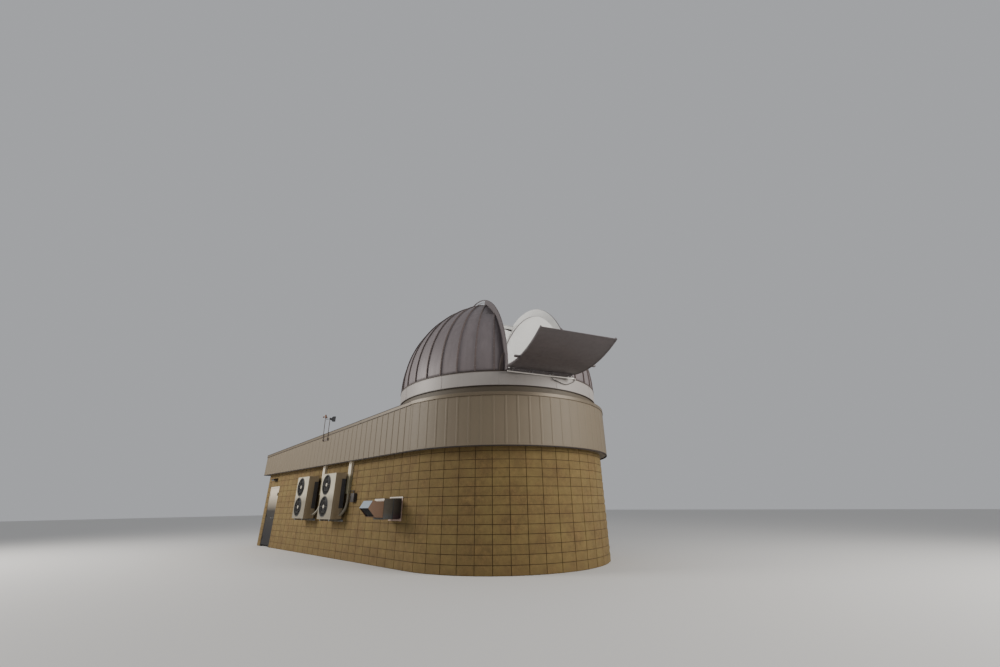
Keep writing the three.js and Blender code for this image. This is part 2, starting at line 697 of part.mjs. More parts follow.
const addArches = () => {
  const above = box(-2000, 2000, -5000, 5000, RING_TOP + GAP, 9000);
  const sides = { slit_arch_left: -1, slit_arch_right: 1 };
  for (const [name, side] of Object.entries(sides)) {
    const xs = [side * ARCH_INNER, side * ARCH_OUTER].sort((a, b) => a - b);
    const whole = band(...xs, RAIL_RADIUS - ARCH_DEPTH, RAIL_RADIUS, -4, 184, 2).intersect(above);
    const window = band(xs[0] - 1, xs[1] + 1, ...CROWN_RADII, ...CROWN_WINDOW);
    addPiece(dome, name, side < 0 ? whole.subtract(window) : whole, DOME_METAL);
  }
  const half = ARCH_INNER - GAP;
  const header = band(-half, half, HEADER_INNER, RAIL_RADIUS - HEADER_DROP, ...HEADER_ANGLE);
  addPiece(dome, 'slit_header', header, DOME_METAL);
};

// Sill under the slit, with its apron in front and the lugs and pin of the lower shutter's hinge.
const addSill = () => {
  const half = ARCH_INNER - GAP;
  const z0 = RING_TOP + GAP;
  const z1 = z0 + SILL_THICK;
  const apronBack = SILL_FRONT + APRON_THICK;
  const sill = box(-half, half, SILL_FRONT, SILL_BACK, z0, z1);
  const apron = box(-APRON_HALF, APRON_HALF, SILL_FRONT, apronBack, APRON_BOTTOM, z1);
  const lipTop = APRON_BOTTOM + LIP_THICK;
  const lip = box(-APRON_HALF, APRON_HALF, SILL_FRONT - APRON_LIP, apronBack, APRON_BOTTOM, lipTop);
  const pin = alongX(circle(HINGE_Y, HINGE_Z, PIN_RADIUS, 10), -PIN_HALF, PIN_HALF);
  const lugs = HINGE_PLACES.flatMap((place) => [-LUG_SHIFT, LUG_SHIFT].flatMap((shift) => {
    const xs = [place + shift - LUG_HALF, place + shift + LUG_HALF];
    return [
      alongX(circle(HINGE_Y, HINGE_Z, LUG_RADIUS, 10), ...xs),
      box(...xs, HINGE_Y, SILL_FRONT + 1, z0 + 3, z1),
    ];
  }));
  addPiece(dome, 'slit_sill', join([sill, apron, lip, pin, ...lugs]), RING_METAL);
};

// Round lead along a smooth curve through a list of points, with flat ends across the given space.
const tube = (route, radius, sides, steps) => {
  const path = new THREE.CatmullRomCurve3(route.map(([x, y, z]) => new THREE.Vector3(x, y, z)));
  return solid(new THREE.ExtrudeGeometry(shapeOf(circle(0, 0, radius, sides)), { steps, extrudePath: path }));
};

const addLeads = () => {
  const outside = box(-ARCH_OUTER - 200, -ARCH_OUTER - GAP, -4000, 0, RING_TOP + GAP, 6000);
  for (const [name, route] of Object.entries(CONDUITS)) {
    const [first] = route;
    const last = route.at(-1);
    const ends = [[first[0] + 20, first[1], first[2]], ...route, [last[0], last[1], last[2] - 20]];
    addPiece(dome, name, tube(ends, CONDUIT_RADIUS, 10, 24).intersect(outside), DARK);
  }
  const start = SLACK_CABLE[0];
  const last = SLACK_CABLE.at(-1);
  const ends = [[start[0], start[1], start[2] + 20], ...SLACK_CABLE, [last[0], last[1], last[2] + 20]];
  const underApron = box(-APRON_HALF, APRON_HALF, -4000, 0, 4000, APRON_BOTTOM - GAP);
  const underGland = box(APRON_HALF, 4000, -4000, 0, 4000, GLAND_BOTTOM - GAP);
  const cable = tube(ends, SLACK_CABLE_RADIUS, 10, 48).intersect(underApron.add(underGland));
  addPiece(dome, 'slack_cable', cable, DARK);
};

// Upper shutter, slid back over the rear of the dome on glides that ride the arches.
const addUpperShutter = () => {
  const end = UPPER_START + UPPER_ARC;
  const skin = band(-SHUTTER_HALF, SHUTTER_HALF, SHUTTER_INNER, SHUTTER_OUTER, UPPER_START, end);
  const parts = [skin];
  for (const side of [-1, 1]) {
    const flange = [side * (SHUTTER_HALF - FLANGE_THICK), side * SHUTTER_HALF].sort((a, b) => a - b);
    parts.push(band(...flange, FLANGE_INNER, SHUTTER_OUTER, UPPER_START, end));
    const glide = [side * (ARCH_INNER + 2), side * (ARCH_OUTER - 2)].sort((a, b) => a - b);
    for (const a of [UPPER_START + 2, UPPER_START + UPPER_ARC / 2, end - 2]) {
      parts.push(band(...glide, RAIL_RADIUS + 0.5, SHUTTER_INNER + 2, a - 0.55, a + 0.55, 0.6));
    }
  }
  addPiece(dome, 'upper_shutter', join(parts), DOME_METAL);
};

// Lower shutter, drawn shut and then swung out on its hinge at the sill.
const addLowerShutter = () => {
  const low = Math.asin((LOWER_BOTTOM_Z - DOME_CENTRE_Z) / SHUTTER_OUTER) * 180 / Math.PI;
  const parts = [band(-SHUTTER_HALF, SHUTTER_HALF, SHUTTER_INNER, SHUTTER_OUTER, low, LOWER_TOP_ANGLE)];
  for (const side of [-1, 1]) {
    const flange = [side * (SHUTTER_HALF - FLANGE_THICK), side * SHUTTER_HALF].sort((a, b) => a - b);
    parts.push(band(...flange, LOWER_FLANGE_INNER, SHUTTER_OUTER, low, LOWER_TOP_ANGLE));
    const ear = [side * (SHUTTER_HALF - 1), side * (SHUTTER_HALF + EAR_OUT)].sort((a, b) => a - b);
    parts.push(band(...ear, ...EAR_RADII, ...EAR_ANGLES));
  }
  const strap = [HINGE_Y + 6, -SHUTTER_INNER - 12, HINGE_Z + 7, HINGE_Z + STRAP_RISE];
  for (const place of HINGE_PLACES) {
    const xs = [place - KNUCKLE_HALF, place + KNUCKLE_HALF];
    parts.push(alongX(circle(HINGE_Y, HINGE_Z, KNUCKLE_RADIUS, 12), ...xs));
    parts.push(box(...xs, ...strap));
  }
  const bore = alongX(circle(HINGE_Y, HINGE_Z, PIN_RADIUS + PIN_CLEAR, 10), -2 * PIN_HALF, 2 * PIN_HALF);
  const mesh = addPiece(lowerHinge, 'lower_shutter', join(parts).subtract(bore), DOME_METAL);
  mesh.geometry.translate(0, -HINGE_Y, -HINGE_Z);
};

// Outdoor units on the left wall: cabinet with two fan wells, grille, fans, bracket and service lines.
const UNIT_FRONT = -(WALL_RADIUS + UNIT_STANDOFF + UNIT_DEPTH);
const UNIT_BACK = -(WALL_RADIUS + UNIT_STANDOFF);

const spoke = (y, z, angle, radius, x0, x1) => {
  const geometry = new THREE.BoxGeometry(x1 - x0, 2 * radius, 8);
  geometry.rotateX(rad(angle));
  geometry.translate((x0 + x1) / 2, y, z);
  return solid(geometry);
};

const fanRotor = (y, z) => {
  const hub = alongX(circle(y, z, 55, 12), HUB_FRONT, HUB_BACK);
  const blades = [0, 120, 240].map((turn) => {
    const geometry = new THREE.BoxGeometry(6, 150, FAN_RADIUS - 40);
    geometry.rotateZ(rad(25));
    geometry.translate(0, 0, 40 + (FAN_RADIUS - 40) / 2);
    geometry.rotateX(rad(turn));
    geometry.translate((HUB_FRONT + HUB_BACK) / 2, y, z);
    return solid(geometry);
  });
  return join([hub, ...blades]);
};

const HUB_FRONT = UNIT_FRONT + 40;
const HUB_BACK = HUB_FRONT + 66;

const addOutdoorUnit = (number, centre) => {
  const y0 = centre - UNIT_WIDTH / 2;
  const y1 = centre + UNIT_WIDTH / 2;
  const z1 = UNIT_BOTTOM + UNIT_HEIGHT;
  const fanY = centre + FAN_OFFSET;
  const wellBack = UNIT_FRONT + FAN_WELL_DEPTH;
  let cabinet = box(UNIT_FRONT, UNIT_BACK, y0, y1, UNIT_BOTTOM, z1);
  for (const z of FAN_HEIGHTS) {
    cabinet = cabinet.subtract(alongX(circle(fanY, z, FAN_WELL_RADIUS, 20), UNIT_FRONT - 1, wellBack));
    cabinet = cabinet.add(alongX(circle(fanY, z, 40, 10), HUB_BACK + GAP, wellBack + 1));
  }
  addPiece(building, `unit_${number}_cabinet`, cabinet, OFF_WHITE);
  const front = UNIT_FRONT - GAP - GRILLE_THICK;
  const back = UNIT_FRONT - GAP;
  const panel = [[y0, UNIT_BOTTOM], [y1, UNIT_BOTTOM], [y1, z1], [y0, z1]];
  const holes = FAN_HEIGHTS.map((z) => circle(fanY, z, FAN_WELL_RADIUS, 20));
  const bars = FAN_HEIGHTS.flatMap((z) => [
    alongX(circle(fanY, z, 60, 10), front, back - 4),
    alongX(circle(fanY, z, 174, 16), front, back - 4, [circle(fanY, z, 166, 16)]),
    ...[0, 60, 120].map((angle) => spoke(fanY, z, angle, FAN_WELL_RADIUS + 4, front, back - 4)),
  ]);
  const grille = join([alongX(panel, front, back, holes), ...bars]);
  addPiece(building, `unit_${number}_grille`, grille, OFF_WHITE);
  FAN_HEIGHTS.forEach((z, i) => {
    addPiece(building, `unit_${number}_fan_${FAN_NAMES[i]}`, fanRotor(fanY, z), DARK);
  });
  const railYs = [centre - RAIL_HALF, centre + RAIL_HALF];
  const rail = box(WALL_FACE - RAIL_THICK, WALL_FACE, ...railYs, UNIT_BOTTOM - 70, UNIT_BOTTOM - GAP);
  const arms = [-ARM_SHIFT, ARM_SHIFT].map((shift) => box(
    UNIT_FRONT + 20,
    WALL_FACE - 6,
    centre + shift - 20,
    centre + shift + 20,
    UNIT_BOTTOM - 50,
    UNIT_BOTTOM - GAP,
  ));
  addPiece(building, `unit_${number}_bracket`, join([rail, ...arms]), STEEL);
};

// Cover on the wall with the line set that curves from its foot into the unit's near side.
const addServiceLine = (number, coverY, unitSide) => {
  const coverEnd = coverY + COVER_WIDTH;
  const cover = box(WALL_FACE - COVER_DEPTH, WALL_FACE, coverY, coverEnd, COVER_BOTTOM, SOFFIT_Z - GAP);
  const startX = WALL_FACE - LINE_SET_RADIUS - 5;
  const startY = coverY + LINE_SET_RADIUS + 5;
  const endX = UNIT_BACK - LINE_SET_RADIUS - 15;
  const route = [
    [startX, startY, COVER_BOTTOM + 20],
    [startX, startY, COVER_BOTTOM - 130],
    [startX - 12, startY, COVER_BOTTOM - 300],
    [startX - 55, startY + 5, COVER_BOTTOM - 455],
    [endX, (startY + unitSide) / 2, LINE_SET_Z + 15],
    [endX, unitSide - 20, LINE_SET_Z],
    [endX, unitSide + 30, LINE_SET_Z],
  ];
  const beside = box(-4000, 0, coverY - 200, unitSide - GAP, 1000, 2000);
  const lineSet = tube(route, LINE_SET_RADIUS, 12, 16).intersect(beside);
  addPiece(building, `line_cover_${number}`, join([cover, lineSet]), OFF_WHITE);
  const boxY = coverY - ISOLATOR_SHIFT;
  const boxEnd = boxY + ISOLATOR_WIDTH;
  const isolator = box(WALL_FACE - ISOLATOR_DEPTH, WALL_FACE, boxY, boxEnd, ISOLATOR_BOTTOM, ISOLATOR_TOP);
  const neckZ = COVER_BOTTOM + 60;
  const runXs = [WALL_FACE - 30, WALL_FACE - 8];
  const neck = box(...runXs, boxEnd - 40, boxEnd - 18, ISOLATOR_TOP - 1, neckZ + 22);
  const run = box(...runXs, boxEnd - 40, coverY - GAP, neckZ, neckZ + 22);
  addPiece(building, `isolator_${number}`, join([isolator, neck, run]), STEEL);
};

// Wall vent: flange on the wall, sleeve and a hood that opens outwards and down.
const addVent = () => {
  const sleeveEnd = WALL_FACE - VENT_OUT;
  const flangeYs = [VENT_NEAR - 80, VENT_FAR + 80];
  const flange = box(WALL_FACE - 14, WALL_FACE, ...flangeYs, VENT_BOTTOM - 18, VENT_TOP + 50);
  const sleeve = box(sleeveEnd, WALL_FACE - 13, VENT_NEAR, VENT_FAR, VENT_BOTTOM, VENT_TOP);
  addPiece(building, 'vent_sleeve', join([flange, sleeve]), DARK);
  const back = sleeveEnd - GAP;
  const top = VENT_TOP - HOOD_FALL;
  const lipZ = VENT_TOP - 212;
  const outline = [
    [back, VENT_BOTTOM + 40],
    [back - 220, VENT_BOTTOM + 62],
    [back - HOOD_REACH, lipZ],
    [back - 318, top],
    [back, top],
  ];
  const inside = [
    [back - HOOD_SHEET, VENT_BOTTOM + 40 + HOOD_SHEET],
    [back - 206, VENT_BOTTOM + 62 + HOOD_SHEET],
    [back - 320, VENT_BOTTOM + 62],
    [back - HOOD_REACH - 100, lipZ],
    [back - HOOD_REACH + 16, lipZ - 2],
    [back - 310, top - HOOD_SHEET],
    [back - HOOD_SHEET, top - HOOD_SHEET],
  ];
  const hood = alongY(outline, VENT_NEAR + 8, VENT_FAR - 8);
  const hollow = alongY(inside, VENT_NEAR + 8 + HOOD_SHEET, VENT_FAR - 8 - HOOD_SHEET);
  addPiece(building, 'vent_hood', hood.subtract(hollow), BROWN_METAL);
};

// Weather masts on the left fascia, with cups on one and a vane on the other.
const addMasts = () => {
  const x = -(FASCIA_FACE + MAST_STANDOFF);
  const plateBack = -(FASCIA_FACE + GAP);
  const feet = MASTS.map(({ foot }) => foot);
  const plateYs = [Math.min(...feet) - 55, Math.max(...feet) + 60];
  const plateBody = box(plateBack - 14, plateBack, ...plateYs, MAST_FOOT_Z - 10, MAST_FOOT_Z + 70);
  const poles = MASTS.map(({ foot, head, top }) => {
    const low = new THREE.Vector3(x, foot, MAST_FOOT_Z);
    const high = new THREE.Vector3(x, head, top);
    const geometry = new THREE.CylinderGeometry(MAST_RADIUS, MAST_RADIUS, low.distanceTo(high), 10);
    const lean = high.clone().sub(low).normalize();
    geometry.applyQuaternion(new THREE.Quaternion().setFromUnitVectors(new THREE.Vector3(0, 1, 0), lean));
    geometry.translate(...low.clone().add(high).multiplyScalar(0.5).toArray());
    const spigot = plate(circle(x, head, MAST_RADIUS / 2, 8), top - 20, top + 2);
    return solid(geometry).add(spigot);
  });
  const clamps = feet.map((foot) => box(
    x - MAST_RADIUS - 4,
    plateBack - 13,
    foot - 18,
    foot + 22,
    MAST_FOOT_Z + 5,
    MAST_FOOT_Z + 55,
  ));
  addPiece(building, 'weather_masts', join([plateBody, ...poles, ...clamps]), STEEL);
  const [cupMast, vaneMast] = MASTS;
  addCups(x, cupMast.head, cupMast.top + INSTRUMENT_RISE);
  addVane(x, vaneMast.head, vaneMast.top + INSTRUMENT_RISE);
};

const spindle = (x, y, z) => plate(circle(x, y, SPINDLE_RADIUS, 12), z - 12, z + SPINDLE_TOP);

const addCups = (x, y, z) => {
  const parts = [spindle(x, y, z)];
  for (const turn of CUP_TURNS) {
    const arm = new THREE.BoxGeometry(CUP_REACH, 6, 6);
    arm.translate(CUP_REACH / 2, 0, 0);
    const cup = new THREE.SphereGeometry(CUP_RADIUS, 8, 6);
    cup.translate(CUP_REACH, 0, 0);
    for (const geometry of [arm, cup]) {
      geometry.rotateZ(rad(turn));
      geometry.translate(x, y, z);
      parts.push(solid(geometry));
    }
  }
  addPiece(building, 'anemometer_cups', join(parts), DARK);
};

const addVane = (x, y, z) => {
  const parts = [spindle(x, y, z)];
  const [nosePlace, finPlace] = VANE_ARM;
  const arm = new THREE.BoxGeometry(finPlace - nosePlace, 8, 10);
  arm.translate((finPlace + nosePlace) / 2, 0, 0);
  const fin = new THREE.BoxGeometry(...VANE_FIN);
  fin.translate(finPlace, 0, 0);
  const nose = new THREE.BoxGeometry(...VANE_NOSE);
  nose.translate(nosePlace, 0, 0);
  for (const geometry of [arm, fin, nose]) {
    geometry.rotateZ(rad(VANE_TURN));
    geometry.translate(x, y, z);
    parts.push(solid(geometry));
  }
  addPiece(building, 'wind_vane', join(parts), DARK);
};

addFloor();
addRoundWalls();
addWingWalls();
addRoof();
addRoundFascia();
addWingFascia();
addCoping();
addCurb();
addDoor();
addDoorLeaf();
addDoorLight();
addBaseRing();
addShells();
addArches();
addSill();
addLeads();
addUpperShutter();
addLowerShutter();
UNIT_CENTRES.forEach((centre, i) => addOutdoorUnit(i + 1, centre));
UNIT_CENTRES.forEach((centre, i) => addServiceLine(i + 1, COVER_PLACES[i], centre - UNIT_WIDTH / 2));
addVent();
addMasts();

export default building;
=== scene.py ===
"""Small observatory building: finishes, block work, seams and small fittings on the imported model."""

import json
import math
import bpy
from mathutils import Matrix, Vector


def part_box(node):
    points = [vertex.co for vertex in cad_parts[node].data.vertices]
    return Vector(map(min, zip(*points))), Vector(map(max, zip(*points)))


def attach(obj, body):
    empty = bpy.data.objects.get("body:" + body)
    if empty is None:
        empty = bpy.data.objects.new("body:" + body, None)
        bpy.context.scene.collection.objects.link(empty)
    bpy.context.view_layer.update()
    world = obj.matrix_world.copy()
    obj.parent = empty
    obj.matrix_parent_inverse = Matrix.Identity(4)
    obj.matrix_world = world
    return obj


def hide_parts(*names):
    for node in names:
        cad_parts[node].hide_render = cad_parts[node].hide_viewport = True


bl_info = {
    "name": "Observatory Dome Building",
    "version": (1, 0, 0),
    "blender": (4, 5, 0),
    "location": "View3D > Sidebar > Observatory",
    "description": "Dresses the observatory building with block work, dome gores, seams and finishes",
    "category": "Object",
}

import bmesh
import bpy
from mathutils import Matrix, Vector, noise
from mathutils.geometry import interpolate_bezier

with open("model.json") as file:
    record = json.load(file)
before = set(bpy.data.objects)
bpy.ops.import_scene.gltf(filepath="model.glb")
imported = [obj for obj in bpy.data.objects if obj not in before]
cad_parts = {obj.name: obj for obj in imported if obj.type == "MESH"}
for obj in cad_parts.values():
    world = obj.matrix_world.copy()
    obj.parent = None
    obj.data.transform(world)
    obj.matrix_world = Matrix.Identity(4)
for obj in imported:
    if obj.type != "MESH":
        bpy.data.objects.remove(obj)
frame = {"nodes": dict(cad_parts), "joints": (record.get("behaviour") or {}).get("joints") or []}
NODES = frame["nodes"]
JOINTS = {joint["name"]: joint for joint in frame["joints"]}
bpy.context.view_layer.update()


def lowest(node):
    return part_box(node)[0]


def highest(node):
    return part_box(node)[1]


def place_of(joint):
    return Vector(JOINTS[joint]["pos_m"])


# Sizes from the frame, in metres
TRAVEL = JOINTS["upper_shutter_travel"]
HINGE = JOINTS["lower_shutter_hinge"]
SLIT_TURN = math.atan2(TRAVEL["axis"][1], TRAVEL["axis"][0])
SLIT_FRAME = Matrix.Rotation(SLIT_TURN, 4, "Z")
DOME_CENTRE_Z = TRAVEL["pos_m"][2]
HINGE_OUT = -math.hypot(*HINGE["pos_m"][:2])
HINGE_Z = HINGE["pos_m"][2]
LOWER_OPEN = math.radians(HINGE["range_deg"][1])
WALL_RADIUS = -lowest("left_wall_front").x
WALL_THICK = WALL_RADIUS + highest("left_wall_front").x
WALL_TOP = highest("round_wall_1").z
WING_END = highest("rear_wall").y
FASCIA_FACE = -lowest("fascia_left").x
FASCIA_BOTTOM = lowest("fascia_left").z
FASCIA_TOP = highest("fascia_round_left").z
FASCIA_END = highest("fascia_rear").y
COPING_FACE = -lowest("coping_left").x
COPING_TOP = highest("coping_round").z
COPING_END = highest("coping_rear").y
ROOF_SLOPE = (COPING_TOP - highest("coping_rear").z) / lowest("coping_rear").y
DOOR_LOW, DOOR_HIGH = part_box("door_frame")
RING_TOP = highest("base_ring").z
RING_BOTTOM = lowest("base_ring").z
CURB_BOTTOM = lowest("dome_curb").z
CURB_TOP = highest("dome_curb").z
APRON_BOTTOM = lowest("slit_sill").z
UNIT_FRONT = lowest("unit_1_cabinet").x

# Sizes that the frame's boxes do not give, in metres. Angles without math.radians are in degrees
SEAT_GAP = 0.0003
SOFFIT_LOW = 2.745
SOFFIT_HIGH = 2.760
COPING_LEG = COPING_TOP - 0.095
DOME_RADIUS = 3.101
RING_RADIUS = 3.131
RING_INNER = 2.960
RING_TRACK_Z = 4.4406
RING_TRACK_INNER = 2.941
CURB_RADIUS = 3.111
RAIL_RADIUS = 3.120
ARCH_INNER = 0.945
ARCH_OUTER = 0.985
SHELL_THICK = 0.030
GORE_COUNT = 38
GORE_PITCH = 2 * math.pi / GORE_COUNT
GORE_STEPS = 48
GORE_FOOT = math.asin((RING_TOP + SEAT_GAP - DOME_CENTRE_Z) / DOME_RADIUS)
SEAM_HEAD = math.radians(86)
SLIT_SEAM = math.radians(23.5)
HEADER_END = math.radians(105.2)
CROWN_WINDOW = (62, 97)
WINDOW_BAR = (3.018, 3.032)
ARCH_BOLTS = (2.905, 3.105)
HINGE_BOLT_Z = 4.640
APRON_BOLT_Z = 4.605
APRON_FACE = -3.143
APRON_FRONT = -3.163
APRON_HALF = 1.0
LEAF_HALF = 0.994
SHUTTER_INNER = 3.128
SHUTTER_OUTER = 3.148
SHUTTER_HALF = 1.024
FLANGE_THICK = 0.030
FLANGE_INNER = 3.040
UPPER_START = 105.0
UPPER_ARC = 68.5
LOWER_TOP_ANGLE = 35.5
LOWER_BOTTOM_Z = 4.698
HINGE_PLACES = (-0.880, -0.305, 0.305, 0.880)
HINGE_RADIUS = 0.018
LOWER_FLANGE_INNER = 3.092
EAR_ANGLES = (12.9, 14.1)
EAR_RADII = (3.086, 3.126)
EAR_OUT = 0.125
GLAND_ANGLE = math.radians(21.3)
GLAND_FOOT = 4.630
FIRST_RIB = 0.235
FIRST_ROUND_RIB = 0.070
ROUND_RIB_SHARE = 0.28
REAR_PHASE = 0.130
LAP_HALF = 0.45
CONTACT_ZS = (1.876, 1.994)
STRAP_ZS = (1.810, 2.260)
VENT_JOINT_OUT = 0.235
VENT_JOINT_ZS = (1.118, 1.604)
HOOD_LIP_Z = 1.388
HOOD_HEEL_Z = 1.186
VENT_STRIP_TOP = 1.602
VENT_FRAME_OUT = 0.0263
LINE_COVER_OUT = 0.0903
CONTACT_OUT = 0.0035
CABLE_DIAMETER = 0.018
CONDUIT_DIAMETER = 0.022
FAN_WELL_RADIUS = 0.280
FAN_WELL_DEPTH = 0.150
WIRE = 0.0022
VANE_TURN = math.radians(-45)
CORNER_STEP = math.radians(7.5)
CORNER_PHASE = math.radians(-2.6)
ARC_STEP = math.radians(1.25)
QUARTER = math.pi / 2
FULL = 2 * math.pi
UP = Vector((0.0, 0.0, 1.0))
BACK = Vector((0.0, 1.0, 0.0))
OUT = Vector((1.0, 0.0, 0.0))
STAGE_TARGET = Vector((0.0, 3.0, 2.5))

# Routes of the leads, in millimetres in the slit's own frame
SLACK_CABLE = (
    (300, -3153, 4574.7), (301, -3153, 4560), (307, -3153, 4542), (320, -3151, 4524), (340, -3149, 4509),
    (368, -3145, 4498), (405, -3140, 4490), (455, -3132, 4480), (515, -3121, 4467), (580, -3108, 4452),
    (650, -3094, 4438), (715, -3080, 4430), (770, -3067, 4428), (822, -3053, 4436), (868, -3039, 4451),
    (918, -3024, 4473), (968, -3008, 4497), (1018, -2992, 4519), (1062, -2976, 4540), (1098, -2963, 4561),
    (1127, -2952, 4586), (1144, -2946, 4612), (1148, -2944, 4629.7),
)
CONDUITS = {
    "conduit_long": (
        (-985.3, -2965, 5150), (-1012, -2968, 5140), (-1044, -2970, 5095), (-1076, -2966, 5010),
        (-1094, -2954, 4920), (-1103, -2937, 4830), (-1106, -2920, 4740), (-1106, -2914, 4669.3),
    ),
    "conduit_short": (
        (-985.3, -2960, 5106), (-1008, -2962, 5094), (-1029, -2958, 5040), (-1043, -2951, 4960),
        (-1052, -2942, 4870), (-1056, -2934, 4780), (-1058, -2930, 4669.3),
    ),
}


# Shader maths
class Signal:
    """A number socket. An expression on it adds Math nodes."""

    def __init__(self, finish, socket):
        self.finish = finish
        self.socket = socket

    def maths(self, operation, *values):
        node = self.finish.node("ShaderNodeMath", {"operation": operation}, dict(enumerate(values)))
        return Signal(self.finish, node.outputs[0])

    def __add__(self, other):
        return self.maths("ADD", self, other)

    def __sub__(self, other):
        return self.maths("SUBTRACT", self, other)

    def __mul__(self, other):
        return self.maths("MULTIPLY", self, other)

    def __truediv__(self, other):
        return self.maths("DIVIDE", self, other)

    def __rsub__(self, other):
        return self.maths("SUBTRACT", other, self)

    __radd__ = __add__
    __rmul__ = __mul__

    def above(self, edge, soft):
        """0 below the edge, 1 above it, with a soft step of that width."""
        return ((self - (edge - soft / 2)) / soft).clamped()

    def clamped(self):
        return self.maths("MAXIMUM", self.maths("MINIMUM", self, 1.0), 0.0)

    def absolute(self):
        return self.maths("ABSOLUTE", self)


class Finish:
    """A material on one Principled BSDF."""

    def __init__(self, name, roughness=0.5, metallic=0.0):
        self.material = bpy.data.materials.new(name)
        self.material.use_nodes = True
        self.tree = self.material.node_tree
        self.shader = self.tree.nodes["Principled BSDF"]
        self.fill(self.shader, {"Roughness": roughness, "Metallic": metallic})

    def fill(self, node, inputs):
        """Sets or links sockets of a node."""
        for key, value in inputs.items():
            if isinstance(value, Signal):
                value = value.socket
            if isinstance(value, bpy.types.NodeSocket):
                self.tree.links.new(value, node.inputs[key])
            else:
                node.inputs[key].default_value = value

    def node(self, kind, settings=None, inputs=None):
        node = self.tree.nodes.new(kind)
        for key, value in (settings or {}).items():
            setattr(node, key, value)
        self.fill(node, inputs or {})
        return node

    def place(self):
        """The point in the part's own frame."""
        return self.node("ShaderNodeTexCoord").outputs["Object"]

    def axes(self):
        split = self.node("ShaderNodeSeparateXYZ", None, {0: self.place()})
        return [Signal(self, split.outputs[i]) for i in range(3)]

    def stretched(self, scale):
        vector = self.node("ShaderNodeVectorMath", {"operation": "MULTIPLY"}, {0: self.place(), 1: scale})
        return vector.outputs[0]

    def noise(self, scale, detail=4.0, stretch=(1.0, 1.0, 1.0), roughness=0.5):
        values = {"Vector": self.stretched(stretch), "Scale": scale, "Detail": detail, "Roughness": roughness}
        return Signal(self, self.node("ShaderNodeTexNoise", None, values).outputs["Fac"])

    def mixed(self, factor, first, second):
        values = {0: factor, 6: colour(first), 7: colour(second)}
        return self.node("ShaderNodeMix", {"data_type": "RGBA"}, values).outputs[2]

    def base(self, value):
        self.fill(self.shader, {"Base Color": colour(value)})

    def rough(self, signal):
        self.fill(self.shader, {"Roughness": signal})

    def relief(self, signal, depth, strength):
        bump = self.node("ShaderNodeBump", None, {"Height": signal, "Distance": depth, "Strength": strength})
        self.fill(self.shader, {"Normal": bump.outputs[0]})
        return self


def colour(value):
    """Three numbers as a colour with full alpha. A socket is passed on."""
    return value if isinstance(value, bpy.types.NodeSocket) else (*value[:3], 1.0)


def shade(value, factor):
    return tuple(min(1.0, channel * factor) for channel in value[:3])


# Finishes
def block_finish():
    base = bpy.context.scene.observatory_walls.block_colour
    finish = Finish("split_block", roughness=0.92)
    tone = Signal(finish, finish.node("ShaderNodeAttribute", {"attribute_name": "tone"}).outputs["Fac"])
    grain = finish.noise(30.0, detail=8.0, roughness=0.75)
    blotch = finish.noise(8.5, roughness=0.65)
    cloud = finish.noise(2.2, detail=3.0)
    z = finish.axes()[2]
    plain = finish.mixed(tone, shade(base, 0.72), shade(base, 1.28))
    blotched = finish.mixed((blotch - 0.36) * 2.4, shade(base, 0.55), plain)
    grained = finish.mixed((grain - 0.36) * 2.6, finish.mixed(0.65, blotched, shade(base, 0.4)), blotched)
    olive = finish.mixed((cloud - 0.3) * 1.2, grained, (base[0] * 0.86, base[1] * 1.03, base[2] * 0.95))
    damp = (1.0 - z.above(0.22, 0.5)) * 0.35
    # Darker towards the top of the wall: painted shade under the fascia's overhang.
    eaves_shade = z.above(FASCIA_BOTTOM - 0.1, 0.5) * 0.25
    finish.base(finish.mixed(damp + eaves_shade, olive, shade(base, 0.5)))
    return finish.relief(grain * 0.75 + finish.noise(95.0, detail=3.0) * 0.25, 0.006, 0.9)


def mortar_finish():
    """Raked joints outside, painted block inside the rooms."""
    mortar = bpy.context.scene.observatory_walls.mortar_colour
    finish = Finish("mortar_and_inner_face", roughness=0.95)
    x, y, _ = finish.axes()
    behind = y.above(0.0, 0.001)
    level = finish.stretched((1.0, 1.0, 0.0))
    radius = finish.node("ShaderNodeVectorMath", {"operation": "LENGTH"}, {0: level})
    out = x.absolute() * behind + Signal(finish, radius.outputs["Value"]) * (1.0 - behind)
    before_rear = 1.0 - y.above(WING_END - WALL_THICK / 2, 0.01)
    inner = (1.0 - out.above(WALL_RADIUS - WALL_THICK / 2, 0.01)) * before_rear
    speck = finish.noise(60.0)
    joint = finish.mixed(speck, shade(mortar, 0.7), shade(mortar, 1.2))
    paint = finish.mixed(speck, (0.5, 0.48, 0.43), (0.6, 0.58, 0.53))
    finish.base(finish.mixed(inner, joint, paint))
    return finish.relief(speck, 0.003, 0.6)


def painted_sheet(name, tint, roughness=0.42, metallic=0.25, streak=0.25, cloud=1.6):
    """Painted sheet metal with faint runs down the face and a soft waviness."""
    finish = Finish(name, roughness, metallic)
    runs = finish.noise(5.0, detail=5.0, stretch=(3.0, 3.0, 0.16))
    clouds = finish.noise(cloud, detail=3.0)
    dust = finish.noise(30.0, detail=5.0)
    worn_and_shaded = finish.mixed((runs - 0.4) * (4.0 * streak), tint, shade(tint, 0.74))
    toned = finish.mixed((clouds - 0.3) * 0.9, shade(tint, 0.9), worn_and_shaded)
    finish.base(finish.mixed(dust * 0.22, toned, shade(tint, 1.25)))
    finish.rough(roughness - 0.08 + dust * 0.2)
    return finish.relief(clouds, 0.012, 0.25)


def fascia_paint(name, factor, *values):
    return painted_sheet(name, shade(bpy.context.scene.observatory_fascia.paint_colour, factor), *values)


def ring_paint():
    return painted_sheet("ring_sheet", bpy.context.scene.observatory_dome.ring_colour, 0.5, 0.1, 0.5, 0.9)


